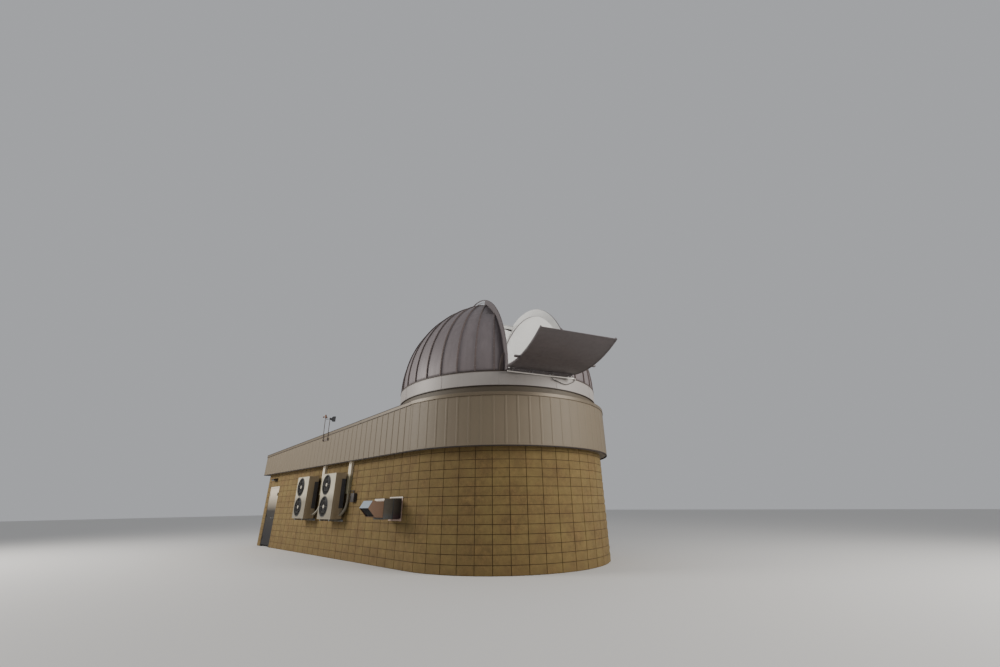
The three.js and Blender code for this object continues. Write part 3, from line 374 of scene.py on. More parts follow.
def weathered_sheet(name, factor, tint=None):
    """Weathered bare sheet of the dome: grey, with stains that run down the gores."""
    tint = shade(tint or bpy.context.scene.observatory_dome.sheet_colour, factor)
    finish = Finish(name, metallic=0.12)
    z = finish.axes()[2]
    runs = finish.noise(4.2, detail=6.0, stretch=(2.4, 2.4, 0.22))
    spots = finish.noise(18.0, detail=6.0, roughness=0.65)
    low = 1.0 - z.above(DOME_CENTRE_Z + 0.25, 0.9)
    stained = finish.mixed((runs - 0.35) * 1.1, shade(tint, 1.08), shade(tint, 0.72))
    spotted = finish.mixed((spots - 0.5) * 0.9, stained, shade(tint, 0.6))
    finish.base(finish.mixed(low * 0.2, spotted, (tint[0] * 0.8, tint[1] * 0.72, tint[2] * 0.64)))
    finish.rough(0.42 + runs * 0.2)
    return finish.relief(finish.noise(2.2, detail=2.0), 0.012, 0.25)


def door_finish():
    """Grey-brown paint, near black low down as painted shade and pale at the head as painted light."""
    finish = Finish("door_paint", roughness=0.75)
    z = finish.axes()[2]
    runs = finish.noise(5.0, detail=5.0, stretch=(3.0, 3.0, 0.2))
    # Near black below is painted shade; the pale head above is painted light.
    low = finish.mixed(z.above(0.8, 0.8), (0.009, 0.0075, 0.0085), (0.022, 0.018, 0.014))
    shaded_and_lit = finish.mixed(z.above(1.65, 0.7), low, (0.58, 0.5, 0.38))
    finish.base(finish.mixed((runs - 0.4) * 0.4, shaded_and_lit, (0.02, 0.017, 0.014)))
    return finish.relief(finish.noise(2.0), 0.008, 0.25)


def clouded(name, roughness, clouds, tones, bumps, depth, strength):
    """Two tones in soft clouds over bumps. Clouds and bumps are a scale and a detail each."""
    finish = Finish(name, roughness)
    finish.base(finish.mixed(finish.noise(*clouds), *tones))
    return finish.relief(finish.noise(*bumps), depth, strength)


def vent_sleeve_finish():
    """Dark olive sleeve, greyer low down as a painted reflection, and redder behind the wall frame."""
    finish = Finish("vent_sleeve_paint", metallic=0.1)
    x, _, z = finish.axes()
    marks = finish.noise(9.0, detail=5.0)
    # Greyer below 1.24 m: a painted reflection on the sleeve.
    low = 1.0 - z.above(1.24, 0.1)
    grey = finish.mixed(low, (0.062, 0.052, 0.036), (0.062, 0.064, 0.062))
    red = finish.mixed(low, (0.05, 0.04, 0.03), (0.05, 0.026, 0.028))
    toned = finish.mixed(x.above(-WALL_RADIUS - VENT_JOINT_OUT, 0.01), grey, red)
    finish.base(finish.mixed((marks - 0.4) * 1.2, toned, (0.024, 0.02, 0.016)))
    return finish.relief(marks, 0.003, 0.3)


def arch_finish():
    """Dull grey metal of the arches, with white faces towards the slit."""
    tint = bpy.context.scene.observatory_dome.sheet_colour
    finish = Finish("arch_metal", roughness=0.6, metallic=0.2)
    spots = finish.noise(14.0, detail=5.0)
    x, y, _ = finish.axes()
    across = x * math.cos(SLIT_TURN) + y * math.sin(SLIT_TURN)
    inner = 1.0 - across.absolute().above(ARCH_INNER + 0.002, 0.001)
    white = finish.mixed(spots, (0.7, 0.69, 0.66), (0.84, 0.83, 0.8))
    finish.base(finish.mixed(inner, finish.mixed(spots, shade(tint, 0.6), shade(tint, 0.85)), white))
    return finish.relief(spots, 0.004, 0.2)


def plain_metal(name, tint, roughness=0.4, metallic=0.8, wear=0.3):
    finish = Finish(name, roughness, metallic)
    marks = finish.noise(24.0, detail=6.0, roughness=0.6)
    finish.base(finish.mixed((marks - 0.35) * (3.0 * wear), tint, shade(tint, 0.6)))
    finish.rough(roughness - 0.1 + marks * 0.25)
    return finish.relief(marks, 0.002, 0.3)


def moulded(name, tint, roughness=0.6):
    finish = Finish(name, roughness)
    finish.base(finish.mixed(finish.noise(6.0) * 0.4, tint, shade(tint, 1.5)))
    return finish.relief(finish.noise(140.0, detail=2.0), 0.0008, 0.4)


def line_cover_finish():
    """Off-white cover with runs. Below the units' tops it is olive grey, a painted shadow of the units, and
    the lines under the cover are darker still.
    """
    finish = Finish("line_cover_paint")
    z = finish.axes()[2]
    runs = finish.noise(6.0, detail=5.0, stretch=(3.0, 3.0, 0.3))
    # Olive grey below 2.33 m: painted shadow of the units on the cover.
    top = finish.mixed(z.above(2.33, 0.1), (0.26, 0.235, 0.15), (0.68, 0.6, 0.46))
    lines = finish.mixed(z.above(1.78, 0.03), (0.2, 0.18, 0.135), top)
    finish.base(finish.mixed((runs - 0.4) * 0.7, lines, (0.09, 0.08, 0.055)))
    return finish.relief(runs, 0.002, 0.3)


def unit_front_finish(number):
    """Off-white front with runs, darker low down as painted shade, and dark behind the fan guards."""
    finish = Finish(f"unit_{number}_front_paint", roughness=0.45)
    _, y, z = finish.axes()
    runs = finish.noise(6.0, detail=5.0, stretch=(3.0, 3.0, 0.3))
    # Darker below 1.72 m: painted shade on the lower front.
    worn_and_shaded = finish.mixed(z.above(1.72, 0.25), (0.22, 0.19, 0.135), (0.52, 0.47, 0.345))
    stained = finish.mixed((runs - 0.4) * 0.9, worn_and_shaded, (0.16, 0.14, 0.1))
    behind = 0.0
    for level in ("lower", "upper"):
        spin = JOINTS[f"unit_{number}_fan_{level}_spin"]["pos_m"]
        across = y - spin[1]
        rise = z - spin[2]
        behind = (1.0 - (across * across + rise * rise).above(FAN_WELL_RADIUS ** 2, 0.0006)) + behind
    finish.base(finish.mixed(behind, stained, (0.06, 0.055, 0.042)))
    return finish.relief(runs, 0.002, 0.3)


def roofing_finish():
    """Roof membrane with a lap every metre."""
    finish = Finish("roof_membrane", roughness=0.75)
    y = finish.axes()[1]
    line = 1.0 - ((y.maths("FRACT", y) - 0.5).absolute() * 2.0 - 0.94).clamped() * 12.0
    finish.base(finish.mixed(finish.noise(1.1, detail=6.0), (0.33, 0.33, 0.32), (0.44, 0.43, 0.41)))
    return finish.relief(line.clamped() + finish.noise(25.0) * 0.2, 0.006, 0.7)


LINING_TONES = ((0.78, 0.77, 0.74), (0.86, 0.85, 0.82))
CONCRETE_TONES = ((0.36, 0.35, 0.33), (0.5, 0.49, 0.46))

# Maker of each finish, and its values
FINISHES = {
    "block": (block_finish,),
    "mortar": (mortar_finish,),
    "fascia": (fascia_paint, "fascia_paint", 1.0, 0.58, 0.08),
    "coping": (fascia_paint, "coping_paint", 0.9),
    "curb": (fascia_paint, "curb_paint", 0.6, 0.6, 0.05),
    "ring": (ring_paint,),
    "dome": (weathered_sheet, "dome_sheet", 1.0),
    # Darker copy of the dome sheet on the shutters and sill: painted shade under the open shutter.
    "shutter": (weathered_sheet, "shutter_sheet", 0.55),
    # Darker tint on the seams: painted shade on their flanks.
    "seam": (weathered_sheet, "seam_sheet", 1.0, (0.125, 0.095, 0.088)),
    "lining": (clouded, "dome_lining", 0.7, (7.0, 4.0), LINING_TONES, (2.5, 4.0), 0.01, 0.2),
    "arch": (arch_finish,),
    "steel": (plain_metal, "dull_steel", (0.26, 0.27, 0.28)),
    "zinc": (plain_metal, "zinc_bolts", (0.42, 0.42, 0.41), 0.35, 0.9, 0.2),
    "mast": (plain_metal, "mast_steel", (0.13, 0.105, 0.085), 0.5, 0.5, 0.3),
    "bronze": (painted_sheet, "bronze_paint", (0.04, 0.03, 0.024), 0.65, 0.1, 0.2),
    "well": (moulded, "fan_well_paint", (0.07, 0.068, 0.06), 0.7),
    "hub": (moulded, "guard_hub_paint", (0.4, 0.37, 0.3), 0.4),
    "coil": (moulded, "coil_fins", (0.055, 0.055, 0.06), 0.5),
    "lens": (moulded, "smoked_lens", (0.09, 0.085, 0.075), 0.4),
    # Dark strips: seals at top edges and painted shadow lines under the coping and at the ring's foot.
    "trim": (painted_sheet, "dark_trim_paint", (0.04, 0.027, 0.02), 0.6, 0.1, 0.2),
    # Pale lip paint: painted light from inside falling on the apron's lip.
    "rim": (painted_sheet, "apron_rim_paint", (0.62, 0.58, 0.53), 0.4, 0.1, 0.2),
    "hose": (moulded, "grey_hose", (0.1, 0.075, 0.062)),
    # Near-black paint of the fascia's foot strip: painted shadow under the fascia.
    "hem": (moulded, "dark_hem_paint", (0.018, 0.011, 0.008), 0.8),
    # Near-black louvre paint: painted shade inside the hood's mouth.
    "screen": (moulded, "black_screen", (0.006, 0.006, 0.006), 0.9),
    "cups": (painted_sheet, "cup_paint", (0.2, 0.08, 0.035), 0.5, 0.1, 0.2),
    "door": (door_finish,),
    # Brown grey of the cabinets, darker than the off-white fronts: painted shade of the sides.
    "unit_side": (painted_sheet, "unit_side_paint", (0.32, 0.255, 0.165), 0.55, 0.0, 0.3),
    "cover": (line_cover_finish,),
    "unit_1_front": (unit_front_finish, 1),
    "unit_2_front": (unit_front_finish, 2),
    "dark": (moulded, "dark_plastic", (0.03, 0.03, 0.032), 0.5),
    "rubber": (moulded, "black_rubber", (0.022, 0.021, 0.021), 0.65),
    "vent_dark": (vent_sleeve_finish,),
    # Brown hood paint: painted shade and red glow on the hood.
    "vent_brown": (painted_sheet, "vent_hood_paint", (0.15, 0.078, 0.04), 0.5, 0.1, 0.35),
    # Blue-grey of the hood's sloped face: painted reflection of the sky.
    "vent_face": (painted_sheet, "vent_face_paint", (0.27, 0.32, 0.37), 0.35, 0.1, 0.2),
    # Pale paint of the frame's head and the hood's top strips; on the frame it is painted light on the top
    # member.
    "vent_pale": (painted_sheet, "vent_frame_paint", (0.62, 0.56, 0.48), 0.4, 0.1, 0.2),
    # Brown sides and foot of the vent frame: painted shade.
    "vent_rim": (painted_sheet, "vent_rim_paint", (0.36, 0.25, 0.2), 0.5, 0.1, 0.2),
    "isolator": (painted_sheet, "isolator_paint", (0.05, 0.042, 0.04), 0.5, 0.2, 0.3),
    "concrete": (clouded, "floor_concrete", 0.85, (1.8, 6.0), CONCRETE_TONES, (80.0, 3.0), 0.002, 0.5),
    "roofing": (roofing_finish,),
}
MADE = {}


def finish_of(name):
    """The named material, made once."""
    if name not in MADE:
        maker, *values = FINISHES[name]
        MADE[name] = maker(*values).material
    return MADE[name]


def dress(finish, *nodes):
    """Gives nodes of the frame their finish."""
    for node in nodes:
        materials = NODES[node].data.materials
        materials.clear()
        materials.append(finish_of(finish))


def soften(width, *nodes):
    """Rounds the sharp edges of nodes of the frame."""
    for node in nodes:
        weld = NODES[node].modifiers.new("joined_corners", "WELD")
        weld.merge_threshold = 0.00005
        bevel = NODES[node].modifiers.new("soft_edges", "BEVEL")
        bevel.width = width
        bevel.segments = 2
        bevel.limit_method = "ANGLE"
        bevel.angle_limit = math.radians(40)
        bevel.harden_normals = True


# Mesh helpers
def swung_out():
    """From the lower shutter's closed place to where it is drawn."""
    pivot = Matrix.Translation((0.0, HINGE_OUT, HINGE_Z))
    return SLIT_FRAME @ pivot @ Matrix.Rotation(LOWER_OPEN, 4, "X") @ pivot.inverted()


def on_circle(radius, angle, z):
    """Angle 0 faces -Y and grows towards +X."""
    return Vector((radius * math.sin(angle), -radius * math.cos(angle), z))


def on_meridian(x, radius, angle):
    """Point of a band over the dome, in the slit's frame. Angles rise from the front horizon."""
    return Vector((x, -radius * math.cos(angle), DOME_CENTRE_Z + radius * math.sin(angle)))


def around(count):
    """Angles of that many equal steps round a circle."""
    return [FULL * i / count for i in range(count)]


def mirrored(side, near, far):
    """Two distances on one side of the middle, in rising order."""
    return sorted((side * near, side * far))


def rectangle(a0, a1, b0, b1):
    return [(a0, b0), (a1, b0), (a1, b1), (a0, b1)]


def loft(bm, rings, closed=False):
    """Faces between rings of points, with caps at the ends unless it closes on itself."""
    rows = [[bm.verts.new(point) for point in ring] for ring in rings]
    for low, high in zip(rows, rows[1:] + rows[:1] if closed else rows[1:]):
        for i in range(len(low)):
            j = (i + 1) % len(low)
            bm.faces.new((low[i], low[j], high[j], high[i]))
    if not closed:
        bm.faces.new(rows[0])
        bm.faces.new(rows[-1])


def cuboid(bm, low, high, bevel=0.0, matrix=None):
    """Box between two corners, with rounded edges where a bevel is given."""
    verts = bmesh.ops.create_cube(bm, size=1.0)["verts"]
    size = Vector(high) - Vector(low)
    middle = (Vector(high) + Vector(low)) / 2
    for vert in verts:
        vert.co = vert.co * size + middle
    if bevel:
        edges = list({edge for vert in verts for edge in vert.link_edges})
        cut = bmesh.ops.bevel(bm, geom=edges, offset=bevel, segments=2, profile=0.6, affect="EDGES")
        rounded = {vert for face in cut["faces"] for vert in face.verts}
        verts = list(rounded | {vert for vert in verts if vert.is_valid})
    if matrix:
        bmesh.ops.transform(bm, matrix=matrix, verts=verts)


def boxes(bevel, *corners):
    """New mesh with a box for each pair of corners."""
    bm = bmesh.new()
    for low, high in corners:
        cuboid(bm, low, high, bevel)
    return bm


def lathe(bm, outline, start=0.0, end=FULL, step=ARC_STEP):
    """Closed outline of radius and height turned round the Z axis."""
    full = end - start > FULL - 1e-6
    count = max(1, round((end - start) / step))
    angles = [start + (end - start) * i / count for i in range(count if full else count + 1)]
    loft(bm, [[on_circle(r, a, z) for r, z in outline] for a in angles], full)


def turned(outline, *span):
    """New mesh with one turned outline."""
    bm = bmesh.new()
    lathe(bm, outline, *span)
    return bm


def wheel(bm, centre, outline):
    """Closed outline of radius and X turned round an X axis through a point."""
    def at(x, radius, angle):
        return centre + Vector((x, radius * math.cos(angle), radius * math.sin(angle)))

    loft(bm, [[at(x, r, a) for r, x in outline] for a in around(40)], True)


def band(bm, xs, radii, start, end, step=1.0):
    """Bar of rectangular section that bends over the dome, in the slit's frame, with angles in degrees."""
    count = max(1, math.ceil((end - start) / step))
    angles = [math.radians(start + (end - start) * i / count) for i in range(count + 1)]
    loft(bm, [[on_meridian(x, r, angle) for x, r in rectangle(*xs, *radii)] for angle in angles])


def bolt(bm, centre, normal, size, height):
    """Bolt head with a washer on a face."""
    turn = Vector(normal).normalized().to_track_quat("Z", "Y").to_matrix().to_4x4()
    place = Matrix.Translation(centre) @ turn
    for sides, radius, top in ((16, size * 0.85, height * 0.25), (6, size * 0.55, height)):
        rings = []
        for z, r in ((-0.001, radius), (top * 0.9, radius), (top, radius * 0.9)):
            rings.append([place @ Vector((r * math.cos(a), r * math.sin(a), z)) for a in around(sides)])
        loft(bm, rings)


def ridden(name, data, body, stands_for):
    """Object that rides on a body and the nodes that it stands for."""
    obj = bpy.data.objects.new(name, data)
    bpy.context.scene.collection.objects.link(obj)
    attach(obj, body)
    if stands_for:
        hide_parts(*stands_for)
    return obj


def piece(name, bm, body, finishes, matrix=None, stands_for=(), smooth=35.0):
    """Turns a mesh into a piece. Edges sharper than the smooth angle, in degrees, stay sharp."""
    if matrix:
        bmesh.ops.transform(bm, matrix=matrix, verts=bm.verts[:])
    bmesh.ops.recalc_face_normals(bm, faces=bm.faces[:])
    mesh = bpy.data.meshes.new(name)
    bm.to_mesh(mesh)
    bm.free()
    for finish in finishes:
        mesh.materials.append(finish_of(finish))
    if smooth:
        mesh.shade_smooth()
        mesh.set_sharp_from_angle(angle=math.radians(smooth))
    return ridden(name, mesh, body, stands_for)


def lead(name, route, diameter, finish, node):
    """Round lead on the dome, as one smooth curve through a route. It stands for a node."""
    curve = bpy.data.curves.new(name, "CURVE")
    curve.dimensions = "3D"
    curve.bevel_depth = diameter / 2
    curve.bevel_resolution = 4
    curve.resolution_u = 8
    curve.use_fill_caps = True
    spline = curve.splines.new("BEZIER")
    spline.bezier_points.add(len(route) - 1)
    for knot, point in zip(spline.bezier_points, route):
        knot.co = SLIT_FRAME @ Vector(value / 1000 for value in point)
        knot.handle_left_type = "AUTO"
        knot.handle_right_type = "AUTO"
    curve.materials.append(finish_of(finish))
    return ridden(name, curve, "dome", [node])


def run_length(obj):
    """Length of a curve piece along its middle."""
    knots = obj.data.splines[0].bezier_points
    total = 0.0
    for a, b in zip(knots, knots[1:]):
        points = interpolate_bezier(a.co, a.handle_right, b.handle_left, b.co, 41)
        total += sum((far - near).length for near, far in zip(points, points[1:]))
    return total


# Block work
def add_block(bm, tone_layer, origin, along, outward, width, low, high, tone):
    """One block: a rough face with worn edges, proud of the joints."""
    settings = bpy.context.scene.observatory_walls
    joint = settings.joint_width / 2
    proud = settings.block_proud
    columns = max(1, round(width / 0.055))
    rows = 3
    inside = width - 2 * joint
    height = high - low - 2 * joint
    if inside < 0.02 or height < 0.02:
        return
    front = []
    for j in range(rows + 1):
        line = []
        for i in range(columns + 1):
            point = origin + along * (joint + inside * i / columns) + UP * (low + joint + height * j / rows)
            lift = (noise.noise(point * 11.0) + 0.6 * noise.noise(point * 29.0)) * settings.face_relief
            if i in (0, columns) or j in (0, rows):
                lift = -settings.edge_round
            line.append(bm.verts.new(point + outward * (proud + lift)))
        front.append(line)
    for below, above in zip(front, front[1:]):
        for i in range(columns):
            bm.faces.new((below[i], below[i + 1], above[i + 1], above[i]))
    left = [line[0] for line in front[-2:0:-1]]
    right = [line[-1] for line in front[1:]]
    rim = front[0] + right + front[-1][-2::-1] + left
    back = [bm.verts.new(vert.co - outward * (proud + 0.012)) for vert in rim]
    for i in range(len(rim)):
        j = (i + 1) % len(rim)
        bm.faces.new((rim[j], rim[i], back[i], back[j]))
    for vert in back + [vert for line in front for vert in line]:
        vert[tone_layer] = tone


def block_courses(name, columns, rows, seeds):
    """Courses of blocks. A column is its number, start, direction, face, width and the y of its wall top."""
    course = bpy.context.scene.observatory_walls.block_height
    bm = bmesh.new()
    layer = bm.verts.layers.float.new("tone")
    for number, start, along, outward, width, y in columns:
        for row in rows:
            low = row * course
            high = min(low + course, WALL_TOP - ROOF_SLOPE * max(y, 0.0))
            if high - low > 0.03:
                seed = number * seeds[0] + row * seeds[1] + seeds[2]
                tone = 0.5 + 0.5 * noise.noise(Vector((seed * 1.7, seed * 0.31, 4.2)))
                add_block(bm, layer, start, along, outward, width, low, high, tone)
    piece(name, bm, "building", ["block"], smooth=50.0)


def straight_columns(corner, along, outward, first, last, phase, breaks=()):
    """Columns of a flat wall on a grid between two ends, without the stretch between two breaks."""
    pitch = bpy.context.scene.observatory_walls.block_length
    count = math.ceil((last - first) / pitch) + 2
    edges = {round(phase + pitch * i, 4) for i in range(-2, count)}
    edges = sorted({e for e in edges if first + 0.02 < e < last - 0.02} | {first, last} | set(breaks))
    pairs = [pair for pair in zip(edges, edges[1:]) if pair[1] - pair[0] > 0.03]
    columns = []
    for number, (start, end) in enumerate(pairs):
        if not breaks or end <= breaks[0] + 0.01 or start >= breaks[1] - 0.01:
            middle = corner + along * (start + end) / 2
            columns.append((number, corner + along * start, along, outward, end - start, middle.y))
    return columns


# Settings
class ObservatoryWalls(bpy.types.PropertyGroup):
    block_length: bpy.props.FloatProperty(
        name="Block length", description="Length of a block with its joint", default=0.4064, unit="LENGTH")
    block_height: bpy.props.FloatProperty(
        name="Block height", description="Height of a course with its joint", default=0.2032, unit="LENGTH")
    joint_width: bpy.props.FloatProperty(
        name="Joint width", description="Width of the raked joints", default=0.014, unit="LENGTH")
    block_proud: bpy.props.FloatProperty(
        name="Block face", description="How far a block stands out", default=0.012, unit="LENGTH")
    face_relief: bpy.props.FloatProperty(
        name="Face relief", description="Height of the rough split face", default=0.012, unit="LENGTH")
    edge_round: bpy.props.FloatProperty(
        name="Edge wear", description="How far a block's edges fall back", default=0.004, unit="LENGTH")
    block_colour: bpy.props.FloatVectorProperty(
        name="Block colour", description="Colour of the block faces", subtype="COLOR",
        default=(0.235, 0.148, 0.052))
    mortar_colour: bpy.props.FloatVectorProperty(
        name="Joint colour", description="Colour of the joints", subtype="COLOR",
        default=(0.074, 0.044, 0.018))


class ObservatoryFascia(bpy.types.PropertyGroup):
    rib_spacing: bpy.props.FloatProperty(
        name="Rib spacing", description="Distance between ribs of the fascia", default=0.3048, unit="LENGTH")
    rib_width: bpy.props.FloatProperty(
        name="Rib width", description="Width of a rib at its foot", default=0.070, unit="LENGTH")
    rib_height: bpy.props.FloatProperty(
        name="Rib height", description="How far a rib stands out", default=0.012, unit="LENGTH")
    paint_colour: bpy.props.FloatVectorProperty(
        name="Fascia colour", description="Paint of the fascia", subtype="COLOR",
        default=(0.162, 0.127, 0.082))


class ObservatoryDome(bpy.types.PropertyGroup):
    seam_height: bpy.props.FloatProperty(
        name="Seam height", description="How far the seams rise from the gores", default=0.032, unit="LENGTH")
    seam_width: bpy.props.FloatProperty(
        name="Seam width", description="Width of a standing seam", default=0.034, unit="LENGTH")
    sheet_colour: bpy.props.FloatVectorProperty(
        name="Sheet colour", description="Colour of the dome's sheets", subtype="COLOR",
        default=(0.175, 0.149, 0.152))
    ring_colour: bpy.props.FloatVectorProperty(
        name="Ring colour", description="Colour of the base ring", subtype="COLOR",
        default=(0.34, 0.31, 0.285))


class ObservatoryStage(bpy.types.PropertyGroup):
    camera_place: bpy.props.FloatVectorProperty(
        name="Camera", description="Place of the camera", subtype="TRANSLATION",
        default=(-9.3464, -9.3216, 1.4252))
    camera_lens: bpy.props.FloatProperty(
        name="Lens", description="Focal length on a sensor 36 mm wide", default=14.483)
    camera_rise: bpy.props.FloatProperty(
        name="Rise", description="How far the camera looks up", subtype="ANGLE", default=math.radians(23.07))
    camera_heading: bpy.props.FloatProperty(
        name="Heading", description="Bearing of the view from +Y towards +X", subtype="ANGLE",
        default=math.atan2(0.7141, 0.7000))
    camera_roll: bpy.props.FloatProperty(
        name="Roll", description="Turn of the picture about its middle", subtype="ANGLE",
        default=math.radians(-0.708))
    floor_colour: bpy.props.FloatVectorProperty(
        name="Floor colour", description="Colour of the plain floor", subtype="COLOR",
        default=(0.62, 0.61, 0.59))
    key_power: bpy.props.FloatProperty(
        name="Key light", description="Power of each large soft light in watts", default=3000.0)
    sky_strength: bpy.props.FloatProperty(
        name="Room light", description="Strength of the even light all round", default=0.48)
    dome_power: bpy.props.FloatProperty(
        name="Dome light", description="Power of the soft light inside the dome in watts", default=160.0)


# Operators
class OBSERVATORY_OT_camera(bpy.types.Operator):
    """Camera at the place, height and tilt of the picture"""
    bl_idname = "observatory.camera"
    bl_label = "Camera"

    def execute(self, context):
        stage = context.scene.observatory_stage
        heading = Matrix.Rotation(-stage.camera_heading, 4, "Z")
        rise = Matrix.Rotation(QUARTER + stage.camera_rise, 4, "X")
        roll = Matrix.Rotation(stage.camera_roll, 4, "Z")
        data = bpy.data.cameras.new("camera")
        data.sensor_fit = "HORIZONTAL"
        data.sensor_width = 36.0
        data.lens = stage.camera_lens
        data.clip_end = 200.0
        camera = bpy.data.objects.new("camera", data)
        camera.matrix_world = Matrix.Translation(stage.camera_place) @ heading @ rise @ roll
        context.scene.collection.objects.link(camera)
        context.scene.camera = camera
        return {"FINISHED"}


class OBSERVATORY_OT_slack_cable(bpy.types.Operator):
    """Cable that hangs from the sill's apron to a gland under the ring's top edge"""
    bl_idname = "observatory.slack_cable"
    bl_label = "Slack cable"

    def execute(self, context):
        cable = lead("slack_cable_rubber", SLACK_CABLE, CABLE_DIAMETER, "rubber", "slack_cable")
        run_length(cable)
        return {"FINISHED"}


class OBSERVATORY_OT_walls(bpy.types.Operator):
    """Stack-bonded blocks on the round front and the wing, over dark raked joints"""
    bl_idname = "observatory.walls"
    bl_label = "Block walls"

    def execute(self, context):
        settings = context.scene.observatory_walls
        walls = [node for node in NODES if node.startswith(("round_wall_", "left_wall_"))]
        dress("mortar", *walls, "right_wall", "rear_wall")
        courses = range(math.ceil(WALL_TOP / settings.block_height))
        edges = [CORNER_PHASE + CORNER_STEP * (i - 11) for i in range(24)]
        edges = [edge for edge in edges if abs(edge) < QUARTER]
        left_phase = settings.block_length - WALL_RADIUS * (edges[0] + QUARTER)
        right_phase = settings.block_length - WALL_RADIUS * (QUARTER - edges[-1])
        corners = [Vector((-WALL_RADIUS - 0.002, left_phase, 0.0))]
        corners += [on_circle(WALL_RADIUS + 0.005, edge, 0.0) for edge in edges]
        corners.append(Vector((WALL_RADIUS + 0.002, right_phase, 0.0)))
        columns = []
        for number, (start, end) in enumerate(zip(corners, corners[1:])):
            along = (end - start).normalized()
            columns.append((number, start, along, along.cross(UP), (end - start).length, 0.0))
        block_courses("round_block_courses", columns, courses, (29, 7, 3))

        door_row = round(DOOR_HIGH.z / settings.block_height)
        left_wall = (-OUT * WALL_RADIUS, BACK, -OUT, left_phase, WING_END, left_phase)
        columns = straight_columns(*left_wall, (DOOR_LOW.y, DOOR_HIGH.y))
        block_courses("left_block_courses", columns, courses[:door_row], (37, 3, 18))
        block_courses("left_top_courses", straight_columns(*left_wall), courses[door_row:], (37, 3, 16))
        columns = straight_columns(OUT * WALL_RADIUS, BACK, OUT, right_phase, WING_END, right_phase)
        block_courses("right_block_courses", columns, courses, (37, 3, 19))
        corner = BACK * WING_END - OUT * WALL_RADIUS
        columns = straight_columns(corner, OUT, BACK, 0.0, 2 * WALL_RADIUS, REAR_PHASE)
        block_courses("rear_block_courses", columns, courses, (37, 3, 18))
        return {"FINISHED"}


class OBSERVATORY_OT_floor_and_roof(bpy.types.Operator):
    """Concrete floor and roof membrane"""
    bl_idname = "observatory.floor_and_roof"
    bl_label = "Floor and roof"

    def execute(self, context):
        dress("concrete", "floor_slab")
        dress("roofing", "roof_deck")
        return {"FINISHED"}


class OBSERVATORY_OT_fascia(bpy.types.Operator):
    """Ribbed sheet fascia round the drum and along the wing"""
    bl_idname = "observatory.fascia"
    bl_label = "Fascia"

    def execute(self, context):
        settings = context.scene.observatory_fascia
        dress("fascia", "fascia_left", "fascia_right", "fascia_rear")
        back = FASCIA_FACE - 0.020
        folded = FASCIA_FACE - 0.003
        wall = WALL_RADIUS + SEAT_GAP
        outline = [
            (wall, SOFFIT_LOW), (back, SOFFIT_LOW), (back, FASCIA_BOTTOM), (folded, FASCIA_BOTTOM),
            (FASCIA_FACE, FASCIA_BOTTOM + 0.003), (FASCIA_FACE, FASCIA_BOTTOM + 0.045),
            (folded, FASCIA_BOTTOM + 0.048), (folded, FASCIA_TOP), (back, FASCIA_TOP),
            (back, SOFFIT_HIGH), (wall, SOFFIT_HIGH),
        ]
        for node, start, end in (("fascia_round_left", -QUARTER, 0.0), ("fascia_round_right", 0.0, QUARTER)):
            bm = turned(outline, start, end)
            piece(f"{node}_sheet", bm, "building", ["fascia"], stands_for=[node])

        # Dark strip along the fascia's foot: painted shadow of the soffit and the wall top.
        shadow_back = back - 0.002
        shadow_face = FASCIA_FACE + 0.004
        shadow_end = FASCIA_END + 0.004
        shadow_low = FASCIA_BOTTOM - 0.004
        shadow_high = FASCIA_BOTTOM + 0.024
        bm = turned(rectangle(shadow_back, shadow_face, shadow_low, shadow_high), -QUARTER, QUARTER)
        for side in (-1, 1):
            near, far = mirrored(side, shadow_back, shadow_face)
            cuboid(bm, (near, 0.0, shadow_low), (far, shadow_end, shadow_high), 0.001)
        cuboid(bm, (-FASCIA_FACE, FASCIA_END - 0.022, shadow_low), (FASCIA_FACE, shadow_end, shadow_high), 0.001)
        piece("fascia_foot_shadow", bm, "building", ["hem"])

        half_foot = settings.rib_width / 2
        half_top = half_foot * 0.45
        rib_low = FASCIA_BOTTOM + 0.012

        def rib(bm, at, low, y, foot=0.0, head=settings.rib_height):
            """Rib up to the coping's leg. The function at makes a point of across, out and height."""
            section = ((-half_foot, foot), (-half_top, head), (half_top, head), (half_foot, foot))
            top = COPING_LEG - 0.002 - ROOF_SLOPE * y
            loft(bm, [[at(across, out, z) for across, out in section] for z in (low, top)])

        for side, name in ((-1, "left"), (1, "right")):
            bm = bmesh.new()
            for i in range(math.floor(FASCIA_END / settings.rib_spacing)):
                y = FIRST_RIB + settings.rib_spacing * i
                if y <= FASCIA_END - 0.06:
                    rib(bm, lambda across, out, z: (side * (FASCIA_FACE + out), y + across, z), rib_low, y)
            piece(f"fascia_ribs_{name}", bm, "building", ["fascia"], smooth=0)

        bm = bmesh.new()
        for i in range(round((math.pi * FASCIA_FACE - FIRST_ROUND_RIB) / settings.rib_spacing)):
            angle = -QUARTER + (FIRST_ROUND_RIB + settings.rib_spacing * i) / FASCIA_FACE

            def round_face(across, out, z):
                return on_circle(FASCIA_FACE + out, angle + across / FASCIA_FACE, z)

            rib(bm, round_face, rib_low + 0.036, 0.0, -0.001, settings.rib_height * ROUND_RIB_SHARE)
        piece("fascia_ribs_round", bm, "building", ["fascia"], smooth=0)

        bm = bmesh.new()
        count = math.floor(2 * FASCIA_FACE / settings.rib_spacing)
        for i in range(count):
            x = (i - (count - 1) / 2) * settings.rib_spacing
            rib(bm, lambda across, out, z: (x + across, FASCIA_END + out, z), rib_low, FASCIA_END)
        piece("fascia_ribs_rear", bm, "building", ["fascia"], smooth=0)
        return {"FINISHED"}


